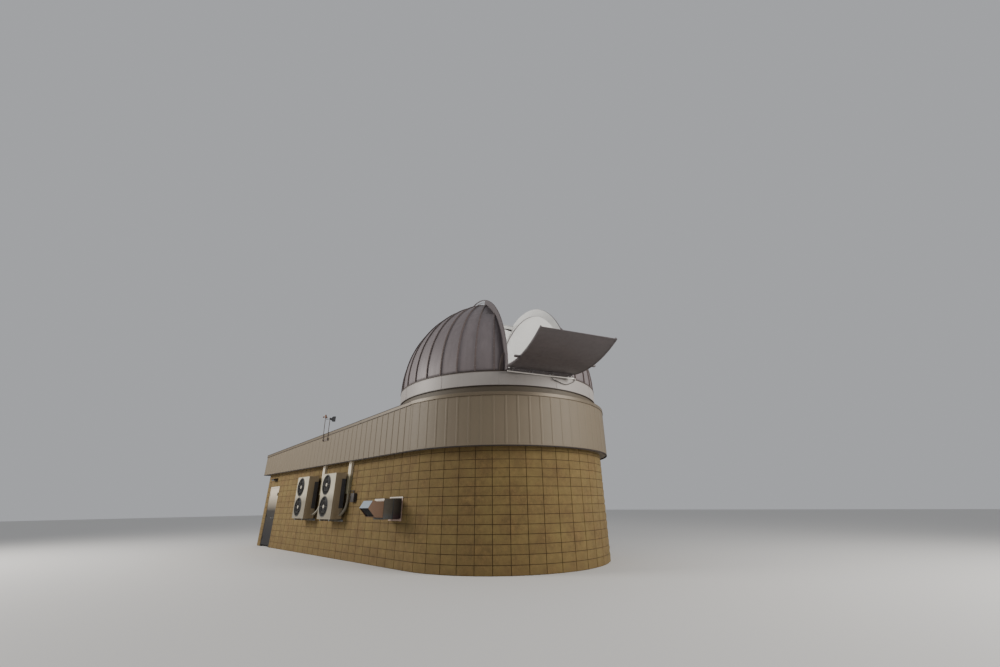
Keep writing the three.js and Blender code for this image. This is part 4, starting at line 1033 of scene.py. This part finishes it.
class OBSERVATORY_OT_coping(bpy.types.Operator):
    """Metal cap over the fascia, with a hemmed drip edge"""
    bl_idname = "observatory.coping"
    bl_label = "Coping"

    def execute(self, context):
        under = COPING_TOP - 0.020
        leg_back = FASCIA_FACE + SEAT_GAP
        inner = CURB_RADIUS + 0.001
        drip = COPING_FACE + 0.006
        outline = [
            (inner, under), (leg_back, under), (leg_back, COPING_LEG), (COPING_FACE, COPING_LEG),
            (drip, COPING_LEG + 0.004), (drip, COPING_LEG + 0.010), (COPING_FACE, COPING_LEG + 0.014),
            (COPING_FACE, COPING_TOP - 0.004), (COPING_FACE - 0.004, COPING_TOP), (inner, COPING_TOP),
        ]
        bm = turned(outline, -QUARTER, QUARTER)
        piece("coping_round_cap", bm, "building", ["coping"], stands_for=["coping_round"])
        dress("coping", "coping_left", "coping_right", "coping_rear")
        soften(0.003, "coping_left", "coping_right", "coping_rear")

        # Dark lines along the coping: a gasket at its top edge and a painted shadow under its drip.
        bm = bmesh.new()
        fall = ROOF_SLOPE * COPING_END
        out = COPING_FACE - 0.001
        for drop_low, drop_high in ((0.020, -0.003), (0.108, 0.092)):
            line = rectangle(-0.012, 0.003, COPING_TOP - drop_low, COPING_TOP - drop_high)
            for side in (-1, 1):
                near = [(side * (COPING_FACE + reach), 0.0, z) for reach, z in line]
                loft(bm, [near, [(x, COPING_END, z - fall) for x, _, z in near]])
            loft(bm, [[(x, COPING_END + reach, z - fall) for reach, z in line] for x in (-out, out)])
        piece("coping_gasket_and_shadow_lines", bm, "building", ["trim"], smooth=0)

        bm = bmesh.new()
        for side in (-1, 1):
            near, far = mirrored(side, FASCIA_FACE - 0.2, COPING_FACE + 0.003)
            for i in range(1, 4):
                y = WING_END * i / 4
                top = COPING_TOP - ROOF_SLOPE * y
                cuboid(bm, (near, y - 0.04, top - 0.1), (far, y + 0.04, top + 0.003), 0.001)
        piece("coping_joint_plates", bm, "building", ["coping"])
        return {"FINISHED"}


class OBSERVATORY_OT_curb_and_ring(bpy.types.Operator):
    """Curb, rollers and the dome's base ring with its beaded edges"""
    bl_idname = "observatory.curb_and_ring"
    bl_label = "Curb and base ring"

    def execute(self, context):
        bm = turned(rectangle(CURB_RADIUS - 0.170, CURB_RADIUS, CURB_BOTTOM, CURB_TOP))
        piece("curb_sheet", bm, "building", ["curb"], stands_for=["dome_curb"])
        dress("steel", "roller_ring")

        skirt = RING_RADIUS - 0.012
        bead = RING_RADIUS + 0.007
        lip = RING_TOP - 0.030
        ledge = RING_TOP - 0.020
        track_top = RING_TRACK_Z + 0.030
        bm = turned([
            (skirt, RING_BOTTOM), (bead - 0.003, RING_BOTTOM), (bead, RING_BOTTOM + 0.003),
            (bead, RING_BOTTOM + 0.026), (RING_RADIUS, RING_BOTTOM + 0.032), (RING_RADIUS, lip - 0.005),
            (bead, lip), (bead, RING_TOP - 0.003), (bead - 0.003, RING_TOP), (RING_INNER, RING_TOP),
            (RING_INNER, ledge), (skirt, ledge), (skirt, track_top), (RING_TRACK_INNER, track_top),
            (RING_TRACK_INNER, RING_TRACK_Z), (skirt, RING_TRACK_Z),
        ])
        turn = Matrix.Rotation(GLAND_ANGLE, 4, "Z")
        gland_low = (-0.028, -RING_RADIUS - 0.060, GLAND_FOOT)
        cuboid(bm, gland_low, (0.028, 0.010 - RING_RADIUS, RING_TOP - 0.001), 0.003, turn)
        piece("base_ring_skirt", bm, "dome", ["ring"], SLIT_FRAME, ["base_ring"])

        # Dark seal at the ring's top edge and dark band at its foot: painted shadow of the gaps under the
        # shell and above the curb.
        edge = RING_RADIUS + 0.011
        sill = DOME_RADIUS + 0.004
        bm = turned([
            (skirt, RING_TOP - 0.026), (edge - 0.002, RING_TOP - 0.026), (edge, RING_TOP - 0.024),
            (edge, RING_TOP + 0.004), (sill, RING_TOP + 0.006), (sill, RING_TOP + 0.0004),
            (skirt, RING_TOP + 0.0004),
        ])
        lathe(bm, rectangle(skirt, edge, RING_BOTTOM - 0.004, RING_BOTTOM + 0.018))
        piece("ring_seal_and_shadow_lines", bm, "dome", ["trim"], SLIT_FRAME)

        bm = bmesh.new()
        face = -RING_RADIUS - 0.004
        straps = 12
        for i in range(straps):
            turn = Matrix.Rotation(FULL * (i + 0.3) / straps, 4, "Z")
            strap_high = (0.030, 0.006 - RING_RADIUS, RING_TOP - 0.038)
            cuboid(bm, (-0.030, face, RING_BOTTOM + 0.036), strap_high, 0.001, turn)
            for x in (-0.018, 0.018):
                for k in range(4):
                    place = turn @ Vector((x, face, RING_BOTTOM + 0.08 + 0.08 * k))
                    bolt(bm, place, -(turn @ BACK), 0.008, 0.004)
        piece("ring_joint_straps", bm, "dome", ["ring"], SLIT_FRAME)
        return {"FINISHED"}


def cut_away(bm, cuts, filled):
    """Removes what lies beyond each plane, and closes the cuts where asked."""
    for point, normal in cuts:
        geometry = bm.verts[:] + bm.edges[:] + bm.faces[:]
        cut = bmesh.ops.bisect_plane(bm, geom=geometry, plane_co=point, plane_no=normal, clear_outer=True)
        if filled:
            edges = [item for item in cut["geom_cut"] if isinstance(item, bmesh.types.BMEdge)]
            bmesh.ops.edgeloop_fill(bm, edges=edges)


def gore_shell(name, start, cuts):
    """Flat gores up to the crown, with the first seam at an angle."""
    bm = bmesh.new()
    crown = bm.verts.new((0.0, 0.0, DOME_CENTRE_Z + DOME_RADIUS))
    rows = []
    for i in range(GORE_STEPS):
        rise = GORE_FOOT + (QUARTER - GORE_FOOT) * i / GORE_STEPS
        radius = DOME_RADIUS * math.cos(rise)
        z = DOME_CENTRE_Z + DOME_RADIUS * math.sin(rise)
        rows.append([bm.verts.new(on_circle(radius, start + GORE_PITCH * k, z)) for k in range(GORE_COUNT)])
    for i in range(GORE_COUNT):
        j = (i + 1) % GORE_COUNT
        for low, high in zip(rows, rows[1:]):
            bm.faces.new((low[i], low[j], high[j], high[i]))
        bm.faces.new((rows[-1][i], rows[-1][j], crown))
    cut_away(bm, cuts, False)
    finishes = ["dome", "lining"]
    shell = [f"dome_shell_{name}"]
    obj = piece(f"dome_gores_{name}", bm, "dome", finishes, SLIT_FRAME, shell, smooth=6.0)
    wall = obj.modifiers.new("thickness", "SOLIDIFY")
    wall.thickness = SHELL_THICK
    wall.offset = -1.0
    wall.material_offset = 1


def gore_seams(name, angles, cuts):
    """Standing seams and the bolts through them."""
    settings = bpy.context.scene.observatory_dome
    half = settings.seam_width / 2
    height = settings.seam_height
    seams = bmesh.new()
    bolts = bmesh.new()
    section = [(x, DOME_RADIUS - 0.006) for x in (-half, half)]
    section += [(x, DOME_RADIUS + height) for x in (half * 0.7, -half * 0.7)]
    rises = [GORE_FOOT + (SEAM_HEAD - GORE_FOOT) * i / GORE_STEPS for i in range(GORE_STEPS + 1)]
    for seam in angles:
        turn = Matrix.Rotation(seam, 4, "Z")
        loft(seams, [[turn @ on_meridian(x, radius, rise) for x, radius in section] for rise in rises])
        for k in range(14):
            rise = GORE_FOOT + math.radians(3 + 5 * k)
            for side in (-1, 1):
                place = turn @ on_meridian(side * (half - 0.001), DOME_RADIUS + 0.019, rise)
                if all((place - point).dot(normal) < -0.02 for point, normal in cuts):
                    bolt(bolts, place, turn @ (OUT * side), 0.010, 0.007)
    cut_away(seams, cuts, True)
    piece(f"dome_seams_{name}", seams, "dome", ["seam"], SLIT_FRAME)
    piece(f"dome_seams_{name}_bolts", bolts, "dome", ["zinc"], SLIT_FRAME)


class OBSERVATORY_OT_gores(bpy.types.Operator):
    """Gored shells of the dome with standing seams outside and a white lining inside"""
    bl_idname = "observatory.gores"
    bl_label = "Dome gores"

    def execute(self, context):
        edge = ARCH_OUTER + SEAT_GAP
        for side, name in ((-1, "left"), (1, "right")):
            cuts = [(OUT * side * edge, -OUT * side)]
            gore_shell(name, side * SLIT_SEAM, cuts)
            angles = [side * (SLIT_SEAM + GORE_PITCH * i) for i in range(17)]
            angles = [angle for angle in angles if abs(math.sin(angle)) * DOME_RADIUS > edge + 0.05]
            gore_seams(name, angles, cuts)
        half = ARCH_INNER - SEAT_GAP
        tilt = HEADER_END + SEAT_GAP / DOME_RADIUS
        front = Vector((0.0, -math.sin(tilt), -math.cos(tilt)))
        cuts = [(OUT * half, OUT), (-OUT * half, -OUT), (UP * DOME_CENTRE_Z, front)]
        gore_shell("rear", SLIT_SEAM - GORE_PITCH / 2, cuts)
        return {"FINISHED"}


class OBSERVATORY_OT_arches(bpy.types.Operator):
    """Arches, header and sill round the slit"""
    bl_idname = "observatory.arches"
    bl_label = "Slit frame"

    def execute(self, context):
        dress("arch", "slit_arch_left", "slit_arch_right", "slit_header")
        # The sill takes the darker shutter sheet: painted shade under the lower shutter.
        dress("shutter", "slit_sill")
        soften(0.002, "slit_sill", "slit_header")
        bm = bmesh.new()
        start, end = CROWN_WINDOW
        band(bm, (0.020 - ARCH_OUTER, 0.034 - ARCH_OUTER), WINDOW_BAR, start - 0.5, end + 0.5)
        for side in (-1, 1):
            xs = mirrored(side, ARCH_INNER + 0.012, ARCH_OUTER - 0.012)
            band(bm, xs, (RAIL_RADIUS - 0.002, RAIL_RADIUS + 0.004), 2, 101)
        piece("arch_rails", bm, "dome", ["arch"], SLIT_FRAME)

        bm = bmesh.new()
        for side in (-1, 1):
            for k in range(13):
                for radius in ARCH_BOLTS:
                    centre = on_meridian(side * ARCH_INNER, radius, math.radians(6 + 13 * k))
                    bolt(bm, centre, (-side, 0, 0), 0.012, 0.008)
        for place in HINGE_PLACES:
            for shift in (-0.044, 0.044):
                bolt(bm, Vector((place + shift, APRON_FACE, HINGE_BOLT_Z)), -BACK, 0.014, 0.009)
        for k in range(11):
            bolt(bm, Vector((0.19 * k - 0.95, APRON_FACE, APRON_BOLT_Z)), -BACK, 0.009, 0.005)
        piece("slit_frame_bolts", bm, "dome", ["zinc"], SLIT_FRAME)

        # Pale lip along the apron's foot: painted light leaking under the lower shutter.
        lip_low = (-APRON_HALF, APRON_FRONT - 0.0035, APRON_BOTTOM + 0.0005)
        bm = boxes(0.001, (lip_low, (APRON_HALF, APRON_FRONT + 0.0205, APRON_BOTTOM + 0.032)))
        piece("apron_rim", bm, "dome", ["rim"], SLIT_FRAME)
        return {"FINISHED"}


class OBSERVATORY_OT_conduits(bpy.types.Operator):
    """Two conduits from the left arch down to the base ring"""
    bl_idname = "observatory.conduits"
    bl_label = "Conduits"

    def execute(self, context):
        for node, route in CONDUITS.items():
            lead(f"{node}_hose", route, CONDUIT_DIAMETER, "hose", node)
        return {"FINISHED"}


def shutter_sheet(start, end, laps, flange_inner):
    """Curved shutter: skin with turned edges, side flanges, cross laps outside and stiffeners inside."""
    bm = bmesh.new()
    half = SHUTTER_HALF
    skin = SHUTTER_OUTER - 0.002
    band(bm, (-half, half), (SHUTTER_INNER, SHUTTER_OUTER), start, end)
    for side in (-1, 1):
        band(bm, mirrored(side, half - FLANGE_THICK, half), (flange_inner, SHUTTER_OUTER), start, end)
        band(bm, mirrored(side, half - 0.040, half), (skin, SHUTTER_OUTER + 0.005), start, end)
    for k in range(laps + 1):
        angle = start + (end - start) * k / laps
        lap = (max(start, angle - LAP_HALF), min(end, angle + LAP_HALF))
        band(bm, (-half, half), (skin, SHUTTER_OUTER + 0.004), *lap, LAP_HALF)
    reach = ARCH_INNER - 0.015
    ribs = (SHUTTER_INNER - 0.016, SHUTTER_INNER + 0.002)
    for k in range(2 * laps):
        angle = start + (end - start) * (k + 0.5) / (2 * laps)
        band(bm, (-reach, reach), ribs, angle - 0.4, angle + 0.4, 0.4)
    return bm


class OBSERVATORY_OT_shutters(bpy.types.Operator):
    """Upper shutter on its glides, and the lower shutter on its hinge"""
    bl_idname = "observatory.shutters"
    bl_label = "Shutters"

    def execute(self, context):
        end = UPPER_START + UPPER_ARC
        bm = shutter_sheet(UPPER_START, end, 4, FLANGE_INNER)
        for side in (-1, 1):
            xs = mirrored(side, ARCH_INNER + 0.002, ARCH_OUTER - 0.002)
            for angle in (UPPER_START + 2, UPPER_START + UPPER_ARC / 2, end - 2):
                band(bm, xs, (RAIL_RADIUS + 0.0045, SHUTTER_INNER + 0.002), angle - 0.55, angle + 0.55, 0.6)
        body = "upper_shutter"
        piece(f"{body}_sheet", bm, body, ["shutter"], SLIT_FRAME, [body])

        low = math.degrees(math.asin((LOWER_BOTTOM_Z - DOME_CENTRE_Z) / SHUTTER_OUTER))
        bm = shutter_sheet(low, LOWER_TOP_ANGLE, 2, LOWER_FLANGE_INNER)
        for side in (-1, 1):
            band(bm, mirrored(side, SHUTTER_HALF - 0.001, SHUTTER_HALF + EAR_OUT), EAR_RADII, *EAR_ANGLES)
        pin = Vector((0.0, HINGE_OUT, HINGE_Z))
        for place in HINGE_PLACES:
            ring = [Vector((0.0, math.cos(a), math.sin(a))) * HINGE_RADIUS + pin for a in around(20)]
            loft(bm, [[point + OUT * x for point in ring] for x in (place - 0.030, place + 0.030)])
            lug_low = (place - 0.030, HINGE_OUT + 0.006, HINGE_Z + 0.007)
            cuboid(bm, lug_low, (place + 0.030, -SHUTTER_INNER - 0.012, HINGE_Z + 0.055), 0.002)
            for shift in (-0.016, 0.016):
                bolt(bm, Vector((place + shift, HINGE_OUT + 0.006, HINGE_Z + 0.040)), -BACK, 0.009, 0.005)
        lugs = sorted(place + shift for place in HINGE_PLACES for shift in (-0.058, 0.058))
        stops = [-LEAF_HALF, *lugs, LEAF_HALF]
        for near, far in zip(stops[::2], stops[1::2]):
            leaf_low = (near, HINGE_OUT + 0.0075, HINGE_Z + 0.003)
            cuboid(bm, leaf_low, (far, HINGE_OUT + 0.0185, HINGE_Z + 0.030))
        body = "lower_shutter"
        piece(f"{body}_sheet", bm, body, ["shutter"], swung_out(), [body])
        return {"FINISHED"}


class OBSERVATORY_OT_door(bpy.types.Operator):
    """Steel entry door with its frame and levers"""
    bl_idname = "observatory.door"
    bl_label = "Entry door"

    def execute(self, context):
        dress("door", "door_frame", "entry_door")
        dress("zinc", "door_lever_outside", "door_lever_inside")
        dress("bronze", "door_light")
        soften(0.002, "door_frame", "entry_door", "door_light")
        low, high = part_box("door_light")
        lens_low = (low.x + 0.012, low.y + 0.020, high.z - 0.096)
        bm = boxes(0.004, (lens_low, (high.x - 0.020, high.y - 0.020, high.z - 0.060)))
        piece("door_light_lens", bm, "building", ["lens"])
        y = DOOR_LOW.y + 0.0255
        x = -WALL_RADIUS - CONTACT_OUT
        bm = boxes(0.004, ((x - 0.0295, y - 0.026, CONTACT_ZS[0]), (x, y + 0.026, CONTACT_ZS[1])))
        piece("door_contact_cover", bm, "building", ["bronze"])
        return {"FINISHED"}


class OBSERVATORY_OT_outdoor_units(bpy.types.Operator):
    """Outdoor units with wire guards over their fans, panel lines and coil guards"""
    bl_idname = "observatory.outdoor_units"
    bl_label = "Outdoor units"

    def execute(self, context):
        for unit in ("unit_1", "unit_2"):
            cabinet, grille = f"{unit}_cabinet", f"{unit}_grille"
            # Cabinet, lid and side panels in the darker paint: painted shade of the sides.
            dress("unit_side", cabinet)
            dress(f"{unit}_front", grille)
            dress("steel", f"{unit}_bracket")
            dress("dark", f"{unit}_fan_lower", f"{unit}_fan_upper")
            soften(0.004, cabinet)
            low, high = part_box(cabinet)
            front = lowest(grille).x
            guards, linings, hubs = bmesh.new(), bmesh.new(), bmesh.new()
            for level in ("lower", "upper"):
                spin = place_of(f"{unit}_fan_{level}_spin")
                spin.x = 0.0
                for k in range(10):
                    radius = 0.070 + 0.0228 * k
                    wire = rectangle(radius - WIRE, radius + WIRE, front + 0.006 - WIRE, front + 0.006 + WIRE)
                    wheel(guards, spin, wire)
                self.line_well(linings, spin, front)
                bolt(hubs, spin + OUT * (front + 0.001), -OUT, 0.060, 0.006)
            piece(f"{unit}_wire_guards", guards, "building", ["dark"])
            piece(f"{unit}_well_linings", linings, "building", ["well"])

            lid_low = (front - 0.002, low.y - 0.003, high.z - 0.002)
            side = low.y - 0.002
            panel = (low.x + 0.012, low.x + 0.185)
            bm = boxes(0.004, (lid_low, (high.x + 0.002, high.y + 0.003, high.z + 0.012)))
            for z0, z1 in ((low.z + 0.015, low.z + 0.50), (low.z + 0.52, high.z - 0.02)):
                cuboid(bm, (panel[0], low.y - 0.005, z0), (panel[1], low.y + 0.002, z1), 0.002)
            for k in range(9):
                z = low.z + 0.06 + 0.045 * k
                cuboid(bm, (low.x + 0.030, side - 0.011, z), (low.x + 0.165, side, z + 0.012), 0.003)
            piece(f"{unit}_lid_and_panels", bm, "building", ["unit_side"])

            coil = (low.x + 0.200, high.x - 0.006)
            bm = boxes(0.0, ((coil[0], side, low.z + 0.30), (coil[1], side + 0.004, high.z - 0.16)))
            for k in range(30):
                z = low.z + 0.31 + 0.028 * k
                cuboid(bm, (coil[0], low.y - 0.006, z), (coil[1], low.y - 0.001, z + 0.006))
            piece(f"{unit}_coil_guard", bm, "building", ["coil"])
            piece(f"{unit}_guard_hubs", hubs, "building", ["hub"])
        return {"FINISHED"}

    @staticmethod
    def line_well(bm, spin, front):
        """Dark lining of a fan well, open at the front and round the motor, and a ring round the opening."""
        mouth = UNIT_FRONT + 0.002
        back = UNIT_FRONT + FAN_WELL_DEPTH
        wall = FAN_WELL_RADIUS - 0.006
        wheel(bm, spin, [
            (wall, mouth), (wall - 0.002, mouth), (wall - 0.002, back - 0.004),
            (0.045, back - 0.004), (0.045, back - 0.002), (wall, back - 0.002),
        ])
        inner = FAN_WELL_RADIUS - 0.002
        outer = FAN_WELL_RADIUS + 0.028
        wheel(bm, spin, [
            (inner, front - 0.004), (outer - 0.002, front - 0.004), (outer, front - 0.002),
            (outer, front + 0.001), (inner, front + 0.001),
        ])


class OBSERVATORY_OT_service_lines(bpy.types.Operator):
    """Line covers on the wall, with their straps, and the isolators"""
    bl_idname = "observatory.service_lines"
    bl_label = "Service lines"

    def execute(self, context):
        for number in (1, 2):
            cover, isolator = f"line_cover_{number}", f"isolator_{number}"
            dress("cover", cover)
            dress("isolator", isolator)
            soften(0.003, cover, isolator)
            x, y, z = lowest(isolator)
            bm = boxes(
                0.003, ((x - 0.006, y + 0.012, z + 0.010), (x + 0.002, y + 0.218, z + 0.240)),
                ((x - 0.022, y + 0.190, z + 0.080), (x - 0.004, y + 0.210, z + 0.170)))
            piece(f"{isolator}_front", bm, "building", ["isolator"])
            out = -WALL_RADIUS - LINE_COVER_OUT
            side = lowest(cover).y - 0.005
            bm = bmesh.new()
            for level in (*STRAP_ZS, highest(cover).z - 0.02):
                cuboid(bm, (out, side, level - 0.012), (-WALL_RADIUS, side + 0.18, level + 0.012), 0.002)
            piece(f"{cover}_straps", bm, "building", ["cover"])
        return {"FINISHED"}


class OBSERVATORY_OT_vent(bpy.types.Operator):
    """Wall vent: dark sleeve, frame with a pale head and brown sides, hood and louvres; light and shade are
    painted on the hood and frame
    """
    bl_idname = "observatory.vent"
    bl_label = "Wall vent"

    def execute(self, context):
        dress("vent_dark", "vent_sleeve")
        # The hood's brown paint is painted shade and red glow.
        dress("vent_brown", "vent_hood")
        soften(0.002, "vent_sleeve", "vent_hood")
        low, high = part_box("vent_sleeve")
        x0 = -WALL_RADIUS - VENT_FRAME_OUT
        x1 = x0 + 0.014
        width = 0.030
        # Pale head and brown sides and foot on one frame: painted light on top, painted shade on the sides.
        bm = boxes(0.002, ((x0, low.y, high.z - width), (x1, high.y, high.z)))
        piece("vent_frame_head", bm, "building", ["vent_pale"])
        bars = [
            ((x0, y, low.z + width), (x1, y + width, high.z - width)) for y in (low.y, high.y - width)
        ]
        bm = boxes(0.002, ((x0, low.y, low.z - width), (x1, high.y, low.z + width)), *bars)
        piece("vent_frame_sides_in_shade", bm, "building", ["vent_rim"])

        low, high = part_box("vent_hood")
        end = high.x
        strip_low = (end - 0.230, low.y - 0.008, high.z - 0.012)
        bm = boxes(
            0.002, (strip_low, (end - 0.012, low.y + 0.006, high.z + 0.010)),
            ((end - 0.012, low.y - 0.006, high.z + 0.002), (end + 0.002, high.y + 0.006, VENT_STRIP_TOP)))
        piece("vent_top_strips", bm, "building", ["vent_pale"])
        middle = -WALL_RADIUS - VENT_JOINT_OUT
        joint_low = (middle - 0.010, low.y - 0.016, VENT_JOINT_ZS[0])
        bm = boxes(0.002, (joint_low, (middle + 0.010, low.y - 0.006, VENT_JOINT_ZS[1])))
        piece("vent_sleeve_joint", bm, "building", ["dark"])

        def slat(bm, edges, thickness, inset):
            """Sheet between two edges across the hood."""
            near, far = edges
            section = (near, far, far + thickness, near + thickness)
            ends = (low.y + inset, high.y - inset)
            loft(bm, [[point + BACK * y for point in section] for y in ends])

        # Sloped face in blue-grey: painted reflection of the sky on the hood.
        bm = bmesh.new()
        top = Vector((end - 0.318, 0.0, high.z))
        foot = Vector((low.x, 0.0, HOOD_LIP_Z))
        slat(bm, (top, foot), (top - foot).cross(BACK).normalized() * 0.003, 0.004)
        piece("vent_hood_face", bm, "building", ["vent_face"])

        # Near-black louvres: painted shade inside the hood's mouth.
        bm = bmesh.new()
        lip = Vector((low.x + 0.012, 0.0, HOOD_LIP_Z - 0.006))
        heel = Vector((end - 0.212, 0.0, HOOD_HEEL_Z))
        slope = (heel - lip).normalized() * 0.010
        inward = (heel - lip).cross(BACK).normalized()
        louvres = 9
        for k in range(louvres):
            middle = lip.lerp(heel, (k + 0.5) / louvres) + inward * 0.012
            slat(bm, (middle - slope, middle + slope), inward * 0.004, 0.016)
        piece("vent_hood_louvres", bm, "building", ["screen"])
        return {"FINISHED"}


class OBSERVATORY_OT_masts(bpy.types.Operator):
    """Weather masts with their cups and vane"""
    bl_idname = "observatory.masts"
    bl_label = "Weather masts"

    def execute(self, context):
        dress("mast", "weather_masts")
        dress("cups", "anemometer_cups")
        dress("dark", "wind_vane")
        heads = (
            ("anemometer", "anemometer_spin", 0.030, 0.088, "cups"),
            ("wind_vane", "wind_vane_turn", 0.024, 0.050, "dark"),
        )
        for body, joint, radius, top, finish in heads:
            outline = [
                (0.004, -0.006), (radius, -0.006), (radius, top - 0.012), (radius * 0.7, top), (0.004, top),
            ]
            bm = turned(outline, 0.0, FULL, math.radians(20))
            piece(f"{body}_head", bm, body, [finish], Matrix.Translation(place_of(joint)))
        bm = bmesh.new()
        rings = []
        for reach, half, rise in ((0.022, 0.009, 0.028), (0.060, 0.009, 0.045), (0.101, 0.006, 0.092)):
            rings.append([(reach, y, z) for y, z in rectangle(-half, half, -rise, rise)])
        loft(bm, rings)
        tail = Matrix.Translation(place_of("wind_vane_turn")) @ Matrix.Rotation(VANE_TURN, 4, "Z")
        piece("wind_vane_tail", bm, "wind_vane", ["dark"], tail, smooth=0)
        return {"FINISHED"}


class OBSERVATORY_OT_stage(bpy.types.Operator):
    """Plain pale floor and soft studio light"""
    bl_idname = "observatory.stage"
    bl_label = "Stage"

    def execute(self, context):
        stage = context.scene.observatory_stage
        bm = bmesh.new()
        bmesh.ops.create_grid(bm, x_segments=1, y_segments=1, size=90.0)
        mesh = bpy.data.meshes.new("stage_floor")
        bm.to_mesh(mesh)
        bm.free()
        finish = Finish("stage_floor", roughness=0.9)
        finish.base(stage.floor_colour)
        mesh.materials.append(finish.material)
        floor = bpy.data.objects.new("stage_floor", mesh)
        floor.location.z = -0.002
        context.scene.collection.objects.link(floor)

        world = bpy.data.worlds.new("soft_room")
        world.use_nodes = True
        background = world.node_tree.nodes["Background"]
        background.inputs[0].default_value = (0.86, 0.88, 0.92, 1.0)
        background.inputs[1].default_value = stage.sky_strength
        context.scene.world = world
        for name, place, size in (("key", (-17.0, 12.0, 9.0), 8.0), ("fill", (4.0, -18.0, 8.0), 10.0)):
            data = self.add_light(name, "AREA", place, stage.key_power)
            data.size = size
            data.color = (1.0, 0.97, 0.93)
        data = self.add_light("dome_light", "POINT", (0.0, 0.0, DOME_CENTRE_Z + 0.6), stage.dome_power)
        data.shadow_soft_size = 0.6
        return {"FINISHED"}

    @staticmethod
    def add_light(name, kind, place, power):
        """Light that faces the middle of the building."""
        data = bpy.data.lights.new(name, kind)
        data.energy = power
        light = bpy.data.objects.new(name, data)
        light.location = place
        light.rotation_euler = (STAGE_TARGET - Vector(place)).to_track_quat("-Z", "Y").to_euler()
        bpy.context.scene.collection.objects.link(light)
        return data


class OBSERVATORY_PT_panel(bpy.types.Panel):
    """Sizes, colours and steps of the observatory"""
    bl_idname = "OBSERVATORY_PT_panel"
    bl_label = "Observatory"
    bl_space_type = "VIEW_3D"
    bl_region_type = "UI"
    bl_category = "Observatory"

    def draw(self, context):
        layout = self.layout
        for attribute, group in SETTINGS.items():
            box = layout.box()
            for name in group.__annotations__:
                box.prop(getattr(context.scene, attribute), name)
        for step in STEPS:
            layout.operator(step.bl_idname)


SETTINGS = {
    "observatory_walls": ObservatoryWalls,
    "observatory_fascia": ObservatoryFascia,
    "observatory_dome": ObservatoryDome,
    "observatory_stage": ObservatoryStage,
}
STEPS = (
    OBSERVATORY_OT_camera, OBSERVATORY_OT_slack_cable, OBSERVATORY_OT_walls, OBSERVATORY_OT_floor_and_roof,
    OBSERVATORY_OT_fascia, OBSERVATORY_OT_coping, OBSERVATORY_OT_curb_and_ring, OBSERVATORY_OT_gores,
    OBSERVATORY_OT_arches, OBSERVATORY_OT_conduits, OBSERVATORY_OT_shutters, OBSERVATORY_OT_door,
    OBSERVATORY_OT_outdoor_units, OBSERVATORY_OT_service_lines, OBSERVATORY_OT_vent, OBSERVATORY_OT_masts,
    OBSERVATORY_OT_stage,
)
CLASSES = (*SETTINGS.values(), *STEPS, OBSERVATORY_PT_panel)


def register():
    for cls in CLASSES:
        bpy.utils.register_class(cls)
    for attribute, group in SETTINGS.items():
        setattr(bpy.types.Scene, attribute, bpy.props.PointerProperty(type=group))


def unregister():
    for attribute in SETTINGS:
        delattr(bpy.types.Scene, attribute)
    for cls in reversed(CLASSES):
        bpy.utils.unregister_class(cls)


def main():
    register()
    for step in STEPS:
        name = step.bl_idname.split(".")[1]
        getattr(bpy.ops.observatory, name)()


if __name__ == "__main__":
    main()
